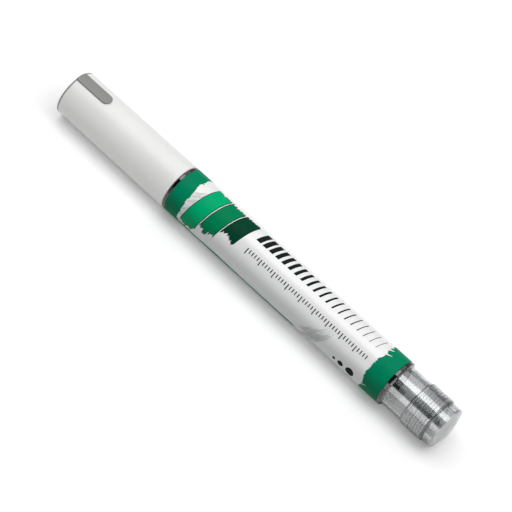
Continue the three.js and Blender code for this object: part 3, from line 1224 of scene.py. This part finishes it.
@dataclass
class WritingEnd:
    """Front section with its grip and nose, and the fibre nib that slides in it."""

    axis: Axis
    land_radius: float = 3.6
    land_front: float = 24.0
    land_rear: float = 28.0
    grip_front: float = 32.0
    grip_rear: float = 41.5
    spigot_radius: float = 5.8
    pocket_front: float = 43.05
    pocket_radius: float = 4.55
    nose_radius: float = 2.5
    nose_lip: float = 2.0
    nib_radius: float = 2.0
    nib_play: float = 0.15
    tip_radius: float = 1.45
    tip_taper: float = 2.6
    tip_shoulder: float = 0.2
    ring_setback: float = 4.05
    ring_width: float = 1.5
    ring_depth: float = 0.55
    grooves: int = 3
    groove_width: float = 0.8
    groove_depth: float = 0.2
    groove_pitch: float = 2.0

    def groove_corners(self, grip: float) -> list[Corner]:
        """Lists the profile corners of the grip's grooves, from the nose towards the barrel.

        Args:
            grip: The grip's radius.

        Returns:
            Four corners for each groove.
        """
        first = (self.grip_front + self.grip_rear - (self.grooves - 1) * self.groove_pitch) / 2
        middles = [first + i * self.groove_pitch for i in range(self.grooves)]
        floor, half, rounding = grip - self.groove_depth, self.groove_width / 2, 0.12
        section = ((-half, grip), (-half / 2, floor), (half / 2, floor), (half, grip))
        return [(middle + shift, level, rounding) for middle in middles for shift, level in section]

    def section(self) -> Piece:
        """Makes the nose, seal land, grip with its grooves, and spigot with its ring groove.

        Returns:
            The section.
        """
        span = Span.of("front_section", self.axis)
        bore, lip = self.nib_radius + self.nib_play, self.tip_radius + self.nib_play
        ring = self.grip_rear + self.ring_setback
        floor = self.spigot_radius - self.ring_depth
        profile = rounded(
            (span.front, lip, 0.2),
            (span.front, self.nose_radius, 0.35),
            (self.land_front, self.land_radius, 1.0),
            (self.land_rear, self.land_radius, 0.6),
            (self.grip_front, span.radius, 1.6),
            *self.groove_corners(span.radius),
            (self.grip_rear, span.radius, 0.15),
            (self.grip_rear, self.spigot_radius, 0.05),
            (ring, self.spigot_radius, 0.05),
            (ring, floor, 0.05),
            (ring + self.ring_width, floor, 0.05),
            (ring + self.ring_width, self.spigot_radius, 0.05),
            (span.rear, self.spigot_radius, 0.15),
            (span.rear, self.pocket_radius, 0.1),
            (self.pocket_front, self.pocket_radius, 0.1),
            (self.pocket_front, bore, 0.1),
            (span.front + self.nose_lip, bore, 0.1),
            (span.front + self.nose_lip, lip, 0.1),
            linked=True,
        )
        finish = MouldedPlastic("satin_black_abs", "1D1E1F", "17181A", roughness=0.34, ior=1.54)
        surface = turned(profile, self.axis, columns=224)
        piece = surface.to_object("grip_section", finish.material())
        return fit(piece, Body.BARREL, Slot.SECTION, "front_section")

    def nib(self) -> Piece:
        """Makes the fibre rod, whose tip is half an ellipse turned about the axis.

        Returns:
            The nib.
        """
        span = Span.of("writing_nib", self.axis)
        lip = Span.of("front_section", self.axis).front + self.nose_lip + self.nib_play
        swing = np.linspace(0, np.pi / 2, 16)
        tip = zip(span.front + self.tip_taper * (1 - np.cos(swing)), self.tip_radius * np.sin(swing))
        profile = rounded(
            *((station, radius, 0.0) for station, radius in tip),
            (lip, self.tip_radius, 0.1),
            (lip + self.tip_shoulder, self.nib_radius, 0.15),
            (span.rear, self.nib_radius, 0.25),
            (span.rear, 0, 0),
        )
        surface = turned(profile, self.axis, columns=128)
        piece = surface.to_object("fibre_nib", BondedFibre().material())
        return fit(piece, Body.NIB, Slot.NIB, "writing_nib")

    def build(self) -> list[Piece]:
        """Builds the writing end's pieces."""
        return [self.section(), self.nib()]


@dataclass
class PumpValve:
    """Inside of the valve: housing, seat washer, plunger, spring, retainer and spigot ring."""

    axis: Axis
    nodes: Mapping[str, Piece]
    stem: float = 1.1
    head: float = 1.5
    pin: float = 0.9
    pin_length: float = 8.0
    washer_land: float = 0.35
    ring_depth: float = 0.54
    crease: float = 30.0
    wire: float = 0.3
    coil: float = 2.4
    turns: int = 7
    steps_per_turn: int = 44
    closing: float = 0.25
    travel: float = 1.8

    def spring(self) -> Piece:
        """Makes the compression spring: a round wire on a helix whose end turns close up.

        The wire's middle is at station start + length (t - closing sin(2 pi t) / (2 pi)), for t
        from 0 to 1, and turns about the axis once for each turn.

        Returns:
            The spring.
        """
        span = Span.of("valve_spring", self.axis)
        share = np.linspace(0, 1, self.turns * self.steps_per_turn + 1)[:, None]
        length = span.rear - span.front - 2 * self.wire
        wave = self.closing * np.sin(FULL_TURN * share) / FULL_TURN
        station = span.front + self.wire + length * (share - wave)
        angle = FULL_TURN * self.turns * share
        round_wire = circle(14)[None]
        slant = math.atan2(length, FULL_TURN * self.coil * self.turns)
        stations = station + self.wire * math.cos(slant) * np.sin(round_wire)
        radii = self.coil + self.wire * np.cos(round_wire)
        angles = angle - self.wire * math.sin(slant) * np.sin(round_wire) / self.coil
        surface = skinned(self.axis.place(stations, radii, angles), Ends.POLES)
        piece = surface.to_object("valve_spring_coil", DrawnSteel("drawn_spring_steel").material())
        fit(piece, Body.BARREL, Slot.STEEL, "valve_spring")
        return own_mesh(piece)

    def plunger(self, finish: Material) -> Piece:
        """Makes the stem that the nib pushes, the sealing head and the spring's guide pin.

        Args:
            finish: Its plastic.

        Returns:
            The plunger.
        """
        span = Span.of("valve_plunger", self.axis)
        head_rear = span.rear - self.pin_length
        head_front = head_rear - self.head
        profile = rounded(
            (span.front, 0, 0),
            (span.front, self.stem, 0.15),
            (head_front, self.stem, 0.12),
            (head_front, span.radius, 0.2),
            (head_rear, span.radius, 0.2),
            (head_rear, self.pin, 0.15),
            (span.rear, self.pin, 0.25),
            (span.rear, 0, 0),
        )
        piece = turned(profile, self.axis).to_object("valve_plunger_stem", finish)
        return fit(piece, Body.NIB, Slot.VALVE, "valve_plunger")

    def rings(self, finish: Material) -> list[Piece]:
        """Makes the two rubber rings: the spigot's seal and the valve's seat washer.

        Args:
            finish: Their rubber.

        Returns:
            The rings.
        """
        seal, washer = (Span.of(node, self.axis) for node in ("section_seal_ring", "valve_seat_washer"))
        made = []
        for name, node, span, inside, rounding in (
            ("section_ring", "section_seal_ring", seal, seal.radius - self.ring_depth, 0.35),
            ("valve_washer", "valve_seat_washer", washer, self.stem + self.washer_land, 0.12),
        ):
            profile = hoop(span, inside, inner=rounding, outer=rounding)
            piece = turned(profile, self.axis).to_object(name, finish)
            made.append(fit(piece, Body.BARREL, Slot.SEAL, node))
        return made

    def smoothed(self, node: str, name: str, finish: Material) -> Piece:
        """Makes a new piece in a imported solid's shape, smooth where it is round.

        Points that lie in one place are joined, so that shading can run across the facets.

        Args:
            node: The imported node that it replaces.
            name: The piece's name.
            finish: Its material.

        Returns:
            The piece.
        """
        solid = bmesh.new()
        solid.from_mesh(self.nodes[node].data)
        bmesh.ops.remove_doubles(solid, verts=solid.verts, dist=0.001 * MM)
        mesh = bpy.data.meshes.new(name)
        solid.to_mesh(mesh)
        solid.free()
        if "custom_normal" in mesh.attributes:
            mesh.attributes.remove(mesh.attributes["custom_normal"])
        return fit(dressed(mesh, finish, self.crease), Body.BARREL, Slot.VALVE, node)

    def build(self) -> list[Piece]:
        """Builds the valve's pieces.

        Returns:
            The pieces.
        """
        acetal = MouldedPlastic("natural_acetal", "E2E4E3", "D6D9D8", roughness=0.36, ior=1.48).material()
        rubber = SealRubber("black_nitrile_rubber", "2C2E30", "44474A").material()
        return [
            self.spring(),
            self.plunger(acetal),
            *self.rings(rubber),
            self.smoothed("valve_housing", "valve_housing_cup", acetal),
            self.smoothed("spring_retainer", "spring_retainer_disc", acetal),
        ]


@dataclass
class MixingBall:
    """Steel ball that lies on the bottom of the paint tank."""

    axis: Axis

    def build(self) -> list[Piece]:
        """Turns a half circle about the ball's own axis.

        Returns:
            The ball.
        """
        low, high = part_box("mixing_ball")
        span = Span.of("mixing_ball", self.axis)
        own = Axis(self.axis.start, (low.z + high.z) / 2 / MM)
        swing = np.linspace(np.pi, 0, 49)
        middle = (span.front + span.rear) / 2
        profile = np.stack([middle + span.radius * np.cos(swing), span.radius * np.sin(swing)], axis=1)
        profile[[0, -1], 1] = 0
        finish = DrawnSteel("ground_steel_ball", roughness=0.12, line=0.6)
        piece = turned(profile, own, columns=96).to_object("mixing_ball_sphere", finish.material())
        return [fit(piece, Body.BALL, Slot.STEEL, "mixing_ball")]


def wander(places: Array, period: float, sizes: Sequence[tuple[float, float]], seed: int) -> Array:
    """Draws a smooth random line that repeats after a period.

    For each (wavelength, height), random knots a wavelength apart are joined by a raised cosine
    and scaled to the height, and the results are added up.

    Args:
        places: Where to read the line.
        period: Length after which it repeats.
        sizes: Wavelength and height of each part.
        seed: Seed of the random knots.

    Returns:
        Heights, shaped as places.
    """
    random = np.random.default_rng(seed)
    total = np.zeros_like(places, dtype=float)
    for wavelength, height in sizes:
        count = max(3, round(period / wavelength))
        knots = random.uniform(-1, 1, count)
        at = np.mod(places / period, 1) * count
        left = np.floor(at).astype(int)
        share = (1 - np.cos(np.pi * (at - left))) / 2
        total += height * (knots[left % count] * (1 - share) + knots[(left + 1) % count] * share)
    return total


class InkTone(Enum):
    """Inks of the label."""

    BAND = "band"
    BRIGHT = "bright"
    MIDDLE = "middle"
    DARK = "dark"
    BLACK = "black"
    GREY = "grey"


@dataclass
class Label:
    """White film round the barrel and the inks printed on it.

    Arcs are measured along the film's circumference from straight up towards -Y. Each printed
    mark is a thin sheet, sunk a little into the film, so that it is closed and stands on it.
    """

    axis: Axis
    film_wall: float = 0.15
    film_sink: float = 0.025
    ink_sink: float = 0.012
    ink_step: float = 0.006
    ink_root: float = 0.05
    rear_gap: float = 0.12
    front_band: float = 5.0
    rear_band: float = 6.2
    band_inset: float = 0.02

    def __post_init__(self) -> None:
        """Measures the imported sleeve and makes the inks."""
        self.span = Span.of("label_sleeve", self.axis)
        self.around = FULL_TURN * self.span.radius
        tones = {
            InkTone.BAND: ("00855E", "007E58"),
            InkTone.BRIGHT: ("00AE74", "00A56C"),
            InkTone.MIDDLE: ("008455", "007B4E"),
            InkTone.DARK: ("05432F", "033A28"),
            InkTone.BLACK: ("1F2220", "181A19"),
            InkTone.GREY: ("D6D8D7", "CCCFCE"),
        }
        self.inks = {
            tone: PrintingInk(f"{tone.value}_label_ink", *shades).material()
            for tone, shades in tones.items()
        }

    def film(self) -> Piece:
        """Makes the film itself, wrapped between the barrel's two rims.

        Returns:
            The film.
        """
        outside, rear = self.span.radius - self.film_sink, self.span.rear - self.rear_gap
        span = Span(self.span.front, rear, outside)
        profile = hoop(span, self.span.radius - self.film_wall, inner=0.02, outer=0.04)
        surface = turned(profile, self.axis, columns=256)
        piece = surface.to_object("label_film_sleeve", PrintedFilm().material())
        return fit(piece, Body.BARREL, Slot.LABEL, "label_sleeve")

    def printed(
        self,
        name: str,
        stations: Array,
        arcs: Array,
        tone: InkTone = InkTone.BLACK,
        layer: int = 0,
        ends: Ends = Ends.STRIPS,
    ) -> Piece:
        """Prints marks that are thin closed sheets.

        Each mark is a grid of (station, arc) points, repeated at an upper and a lower radius and
        joined round its edge.

        Args:
            name: The piece's name.
            stations: Shaped (marks, points along, points across), or without the first for one.
            arcs: The same shape.
            tone: The ink.
            layer: Higher layers lie over lower ones.
            ends: How the rows' ends are closed.

        Returns:
            One piece that holds all the marks.
        """
        top = self.span.radius - self.ink_sink + self.ink_step * layer
        heights, angles = (top, top - self.ink_root), arcs / self.span.radius
        upper, lower = (self.axis.place(stations, height, angles) for height in heights)
        rings = np.concatenate([upper, lower[..., ::-1, :]], axis=-2)
        return fit(skinned(rings, ends).to_object(name, self.inks[tone]), Body.BARREL, Slot.LABEL)

    def band(self, name: str, outer: float, inner: Array, slant: float) -> Piece:
        """Prints a band that runs all the way round, with a brushed inner edge.

        Args:
            name: The piece's name.
            outer: Station of its straight edge.
            inner: Stations of its brushed edge, evenly spaced round the film.
            slant: Arc that a bristle's end moves for each millimetre past the shortest bristle.

        Returns:
            The band.
        """
        arcs = np.linspace(0, self.around, len(inner), endpoint=False)[:, None]
        stations = outer + (inner[:, None] - outer) * np.linspace(0, 1, 10)
        past = np.maximum(np.abs(stations - outer) - np.abs(inner - outer).min(), 0)
        return self.printed(name, stations, arcs + slant * past, InkTone.BAND, ends=Ends.LINKED)

    def bands(self) -> list[Piece]:
        """Prints the green bands at both ends of the label.

        An inner edge is the band's width plus a random line, plus single bristles: the peaks of
        another random line above a level.

        Returns:
            The front band and the rear one.
        """
        arcs = np.linspace(0, self.around, 1440, endpoint=False)
        waves = wander(arcs, self.around, [(7.0, 0.35), (1.6, 0.25), (0.5, 0.18), (0.13, 0.1)], seed=11)
        level, reach = 0.8, 1.5
        hairs = np.clip(wander(arcs, self.around, [(2.4, 1.0), (0.24, 0.9)], seed=17) - level, 0, 1)
        front = self.span.front + self.front_band + waves + reach * hairs
        lobes = wander(arcs, self.around, [(9.0, 0.75), (3.5, 0.5), (0.9, 0.2), (0.2, 0.12)], seed=23)
        level, reach = 0.75, 2.2
        gaps = np.clip(wander(arcs, self.around, [(1.4, 1.0), (0.28, 0.8)], seed=31) - level, 0, 1)
        rear = self.span.rear - self.rear_band + lobes + reach * gaps
        return [
            self.band("front_band_print", self.span.front + self.band_inset, front, slant=-0.3),
            self.band("rear_band_print", self.span.rear - self.band_inset, rear, slant=0.45),
        ]

    def stroke(
        self, middle: float, width: float, arc_from: float, arc_to: float, lean: float, seed: int
    ) -> tuple[Array, Array]:
        """Draws one broad brush stroke across the film.

        Its bristles run from a ragged start to a ragged end, and their stations lean with the arc.

        Args:
            middle: Station of the stroke's middle, halfway along it.
            width: Its width.
            arc_from: Where it starts.
            arc_to: Where it ends.
            lean: Stations gained for each millimetre of arc.
            seed: Seed of its ragged ends.

        Returns:
            Stations and arcs, each shaped (points along, points across).
        """
        across = np.linspace(-0.5, 0.5, 90)[None]
        along = np.linspace(0, 1, 60)[:, None]
        start = arc_from + wander(across * width, 50.0, [(1.5, 0.5), (0.35, 0.45), (0.12, 0.25)], seed)
        end = arc_to + wander(across * width, 50.0, [(1.5, 0.8), (0.35, 0.7), (0.12, 0.4)], seed + 1)
        arcs = start + (end - start) * along
        edge = wander(arcs, 60.0, [(4.0, 0.1), (0.8, 0.04)], seed + 2)
        stations = middle + across * (width + edge) + lean * (arcs - (arc_from + arc_to) / 2)
        return stations, arcs

    def colour_strokes(self) -> list[Piece]:
        """Prints three broad leaning strokes, each shorter and darker than the last.

        Each is a coloured face on a dark ground, which shows as a line round it.

        Returns:
            The grounds and faces.
        """
        ground_width, face_width, line, lean = 5.2, 4.75, 0.25, -0.2
        strokes = {
            InkTone.BRIGHT: (52.6, -3.4, 12.0),
            InkTone.MIDDLE: (58.3, -3.0, 9.2),
            InkTone.DARK: (64.0, -2.6, 6.2),
        }
        pieces = []
        for seed, (tone, (middle, start, end)) in zip((40, 50, 60), strokes.items()):
            ground = self.stroke(middle, ground_width, start - line, end + line, lean, seed)
            face = self.stroke(middle, face_width, start, end, lean, seed)
            pieces.append(self.printed(f"{tone.value}_stroke_ground", *ground))
            pieces.append(self.printed(f"{tone.value}_stroke_face", *face, tone, layer=1))
        return pieces

    def width_chart(self) -> Piece:
        """Prints a row of leaning bars that go from bold to fine.

        Returns:
            The bars.
        """
        count, first, last, lean, centre = 20, 70.6, 113.9, -0.22, -1.1
        bold, fine, fall = 1.5, 0.16, 1.4
        middles = np.linspace(first, last, count)[:, None, None]
        widths = (bold * (1 - np.linspace(0, 1, count)) ** fall + fine)[:, None, None]
        arcs = np.linspace(-3.4, 1.2, 14)[None, :, None]
        stations = middles + np.array([-0.5, 0.5]) * widths + lean * (arcs - centre)
        return self.printed("width_chart_print", stations, np.broadcast_to(arcs, stations.shape))

    def size_dots(self) -> Piece:
        """Prints three dots of growing size, the widths that the nib can draw.

        Each dot is a sheet whose width follows the cosine of the angle whose sine runs along it.

        Returns:
            The dots.
        """
        arc = 12.0
        middles = np.array([106.4, 108.7, 112.1])[:, None, None]
        radii = np.array([0.5, 0.95, 1.4])[:, None, None]
        turn = np.radians(np.linspace(-88, 88, 25))[None, :, None]
        arcs = arc + radii * np.cos(turn) * np.linspace(-1, 1, 9)
        stations = np.broadcast_to(middles + radii * np.sin(turn), arcs.shape)
        return self.printed("size_dots_print", stations, arcs)

    def ruler(self) -> Piece:
        """Prints millimetre ticks, with every fifth one longer.

        Returns:
            The ticks.
        """
        count, first, arc, line, short, long = 45, 69.6, 4.4, 0.15, 1.15, 1.9
        number = np.arange(count)[:, None, None]
        reach = np.where(number % 5 == 0, long, short)
        arcs = np.broadcast_to(arc + reach * np.linspace(0, 1, 6)[None, :, None], (count, 6, 2))
        stations = np.broadcast_to(first + number + np.array([-line, line]), arcs.shape)
        return self.printed("ruler_print", stations, arcs)

    def underside_strip(self) -> Piece:
        """Prints a green strip low on the barrel, brushed out at both ends.

        Returns:
            The strip.
        """
        first, last, arc, width, spread = 47.6, 92.0, 14.0, 1.8, 3
        across = np.linspace(0, 1, 40)[:, None]
        along = np.linspace(0, 1, 160)[None]
        start = first + wander(across * spread, 30.0, [(1.0, 0.5), (0.3, 0.4)], seed=71)
        end = last + wander(across * spread, 30.0, [(1.0, 1.6), (0.3, 1.2)], seed=72)
        stations = start + (end - start) * along
        upper = arc + wander(stations, 90.0, [(9.0, 0.25), (1.2, 0.08)], seed=73)
        return self.printed("underside_strip_print", stations, upper + across * width, InkTone.BAND)

    def bristle_marks(
        self, name: str, spots: Sequence[tuple[float, float, float]], seed: int
    ) -> Piece:
        """Prints faint grey marks of a dry brush: bundles of fine curved slivers.

        A sliver's middle line bends as the square of the way along it, and its width swells as a
        cosine from nought to full and back.

        Args:
            name: The piece's name.
            spots: (station, arc, heading in degrees) of each bundle's middle; heading 0 runs
                round the barrel.
            seed: Seed of the slivers' places and sizes.

        Returns:
            One piece that holds all the slivers.
        """
        random = np.random.default_rng(seed)
        each, points, least = 20, 16, 0.004
        centre = np.repeat(np.array(spots), each, axis=0)
        count = len(centre)
        heading = np.radians(centre[:, 2] + random.normal(0, 3, count))[:, None]
        length = random.uniform(2.4, 6.4, count)[:, None]
        offset = random.uniform(-1.7, 1.7, count)[:, None]
        shift = random.normal(0, 0.9, count)[:, None]
        wide = random.uniform(0.08, 0.3, count)[:, None]
        t = np.linspace(-0.5, 0.5, points)[None]
        run, bow = t * length + shift, 0.5 * t**2 * length
        sine, cosine = np.sin(heading), np.cos(heading)
        along = centre[:, :1] + run * sine + (offset + bow) * cosine
        arc = centre[:, 1:2] + run * cosine - (offset + bow) * sine
        half = (least + wide * np.cos(np.pi * t))[:, :, None] * np.array([-0.5, 0.5])
        stations = along[:, :, None] + half * cosine[:, :, None]
        arcs = arc[:, :, None] - half * sine[:, :, None]
        return self.printed(name, stations, arcs, InkTone.GREY, layer=-1)

    def build(self) -> list[Piece]:
        """Builds the label's pieces.

        Returns:
            The film and its prints.
        """
        near_front = [(50.2, 3.4, 128.0), (50.0, 6.0, 132.0), (50.2, 8.6, 136.0), (50.6, 11.4, 140.0)]
        near_rear = [(96.4, 11.6, 130.0), (98.6, 10.2, 134.0), (100.6, 8.6, 138.0), (98.2, 12.2, 140.0)]
        return [
            self.film(),
            *self.bands(),
            *self.colour_strokes(),
            self.width_chart(),
            self.size_dots(),
            self.ruler(),
            self.underside_strip(),
            self.bristle_marks("front_bristle_marks", near_front, seed=81),
            self.bristle_marks("rear_bristle_marks", near_rear, seed=82),
        ]


@dataclass(frozen=True)
class Viewpoint:
    """Where the photograph was taken from: turns in degrees, lengths in millimetres."""

    azimuth: float = 23.39
    elevation: float = 49.59
    roll: float = 24.0
    distance: float = 642.8
    aim: tuple[float, float, float] = (-0.50, 0.11, 7.2)
    lens: float = 166.03
    sensor: float = 36.0

    def build(self) -> None:
        """Makes the camera and hands it to the scene."""
        a, e, turn = (math.radians(v) for v in (self.azimuth, self.elevation, self.roll))
        back = Vector((math.sin(a) * math.cos(e), -math.cos(a) * math.cos(e), math.sin(e)))
        level = Vector((math.cos(a), math.sin(a), 0.0))
        upright = back.cross(level)
        right = level * math.cos(turn) + upright * math.sin(turn)
        camera = bpy.data.objects.new("camera", bpy.data.cameras.new("camera"))
        camera.data.lens = self.lens
        camera.data.sensor_width = self.sensor
        camera.data.clip_start, camera.data.clip_end = 0.01, 20.0
        pose = Matrix((right, back.cross(right), back)).transposed().to_4x4()
        pose.translation = (Vector(self.aim) + back * self.distance) * MM
        camera.matrix_world = pose
        bpy.context.scene.collection.objects.link(camera)
        bpy.context.scene.camera = camera


@dataclass(frozen=True)
class Softbox:
    """A flat rectangular lamp, which leans from overhead towards -Y and faces the marker."""

    name: str
    radiance: float
    wide: float
    lean: float
    long: float = 1300.0
    distance: float = 620.0
    mirrored: bool = True

    def build(self) -> None:
        """Makes the lamp. Its power is radiance times pi times its area."""
        lamp = bpy.data.lights.new(self.name, "AREA")
        lamp.shape = "RECTANGLE"
        lamp.size, lamp.size_y = self.long * MM, self.wide * MM
        lamp.energy = self.radiance * math.pi * self.long * self.wide * MM * MM
        lean = math.radians(self.lean)
        lit = bpy.data.objects.new(self.name, lamp)
        lit.location = (0.0, -self.distance * math.sin(lean) * MM, self.distance * math.cos(lean) * MM)
        lit.rotation_euler = (lean, 0.0, 0.0)
        lit.visible_glossy = self.mirrored
        bpy.context.scene.collection.objects.link(lit)


@dataclass(frozen=True)
class Studio:
    """White floor, lamps overhead, dim surroundings and the photograph's viewpoint."""

    view: Viewpoint = Viewpoint()
    lamps: tuple[Softbox, ...] = (
        Softbox("overhead_softbox", radiance=2.8, wide=332.0, lean=-3.0),
        Softbox("front_fill", radiance=1.4, wide=263.0, lean=24.0, mirrored=False),
        Softbox("back_fill", radiance=1.0, wide=403.0, lean=-36.0),
    )
    window: float = 1.7
    window_left: tuple[float, float] = (-0.27, -0.19)
    window_right: tuple[float, float] = (-0.2, 0.2)
    dim_wall: float = 0.4
    wall_top: tuple[float, float] = (0.45, 0.56)
    upper_sky: float = 0.04
    floor_side: float = 4000.0
    floor_white: float = 0.93
    floor_seen: float = 0.81
    floor_lift: float = 0.23
    lift_from: float = 110.0
    lift_to: float = 260.0

    def surroundings(self) -> None:
        """Makes the world: white to the camera, and to gloss and glass a dim wall under a dark sky.

        The wall is bright, as a window is, over the quarter between -Y and +X. Each limit is a pair
        of values of one part of the view's direction, between which one level fades to the other.
        """
        world = bpy.data.worlds.new("dim_studio")
        bpy.context.scene.world = world
        graph = Graph(world)
        seen = graph.add("LightPath").node.outputs
        way = graph.add("SeparateXYZ", {"Vector": graph.add("TexCoord", out="Generated")}).node.outputs
        left, right, top = self.window_left, self.window_right, self.wall_top
        steps = {1: left[0], 2: left[1], 3: self.dim_wall, 4: self.window}
        level = graph.add("MapRange", {"Value": way["X"], **steps})
        steps = {1: right[0], 2: right[1], 3: level, 4: self.dim_wall}
        level = graph.add("MapRange", {"Value": way["Y"], **steps})
        steps = {1: top[0], 2: top[1], 3: level, 4: self.upper_sky}
        level = graph.add("MapRange", {"Value": way["Z"], **steps})
        rays = {0: seen["Is Glossy Ray"], 1: seen["Is Transmission Ray"]}
        mirrored = graph.add("Math", rays, operation="MAXIMUM")
        level = graph.add("Math", {0: level, 1: mirrored}, operation="MULTIPLY")
        level = graph.add("Math", {0: level, 1: seen["Is Camera Ray"]}, operation="MAXIMUM")
        glow = graph.add("Background", {"Color": WHITE, "Strength": level})
        graph.add("OutputWorld", {"Surface": glow})

    def paper(self) -> Material:
        """Makes the floor's white paper: matt, and lifted for the camera past the shadow.

        Returns:
            The material.
        """
        paper = bpy.data.materials.new("white_paper")
        graph = Graph(paper)
        seen = graph.add("LightPath", out="Is Camera Ray")
        away = {0: graph.add("TexCoord", out="Object")}
        reach = {"Value": graph.add("VectorMath", away, "Value", operation="LENGTH")}
        limits = {1: self.lift_from * MM, 2: self.lift_to * MM, 3: self.floor_lift, 4: 1.0}
        white = graph.add("MapRange", {**reach, **limits}, interpolation_type="SMOOTHSTEP")
        pale = {6: (*[self.floor_white] * 3, 1.0), 7: (*[self.floor_seen] * 3, 1.0)}
        shade = graph.add("Mix", {0: seen, **pale}, 2, data_type="RGBA")
        lift = graph.add("Math", {0: seen, 1: white}, operation="MULTIPLY")
        matt = graph.add("BsdfDiffuse", {"Color": shade})
        glow = graph.add("Emission", {"Color": WHITE, "Strength": lift})
        graph.add("OutputMaterial", {"Surface": graph.add("AddShader", {0: matt, 1: glow})})
        return paper

    def floor(self) -> None:
        """Lays the floor."""
        half = self.floor_side / 2 * MM
        corners = [(-half, -half, 0), (half, -half, 0), (half, half, 0), (-half, half, 0)]
        mesh = bpy.data.meshes.new("floor")
        mesh.from_pydata(corners, [], [(0, 1, 2, 3)])
        mesh.materials.append(self.paper())
        floor = bpy.data.objects.new("floor", mesh)
        bpy.context.scene.collection.objects.link(floor)

    def build(self) -> None:
        """Builds the studio and sets the plain view transform."""
        bpy.context.scene.view_settings.view_transform = "Standard"
        self.view.build()
        self.surroundings()
        self.floor()
        for lamp in self.lamps:
            lamp.build()


def screw_pair(axis: Axis) -> tuple[Thread, Thread]:
    """Sizes the thread on the plug's stem and the one in the collar's bore.

    Args:
        axis: The marker's axis.

    Returns:
        The stem's thread, and the bore's, which is wider by the play between them.
    """
    radius, play, stem_start, bore_start = 5.6, 0.15, 0.4, -0.2
    front, rear = Span.of("tail_plug", axis).front, Span.of("barrel_tube", axis).rear
    outer = Thread(radius, front + stem_start, rear)
    return outer, Thread(radius + play, front + bore_start, rear - play)


def main() -> None:
    """Loads the frame, builds the studio and the marker, and reports each piece."""
    logging.basicConfig(level=logging.INFO, format="%(name)s: %(message)s")
    for leftover in list(bpy.data.objects):
        bpy.data.objects.remove(leftover)
    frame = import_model()
    axis = Axis.of_marker()
    Studio().build()

    stem_thread, bore_thread = screw_pair(axis)
    assemblies = (
        Cap(axis),
        WritingEnd(axis),
        Barrel(axis, bore_thread),
        Label(axis),
        PumpValve(axis, frame["nodes"]),
        MixingBall(axis),
        Tail(axis, stem_thread),
    )
    for assembly in assemblies:
        for piece in assembly.build():
            LOG.info("%s: %s, %d faces", type(assembly).__name__, piece.name, len(piece.data.polygons))


if __name__ == "__main__":
    main()
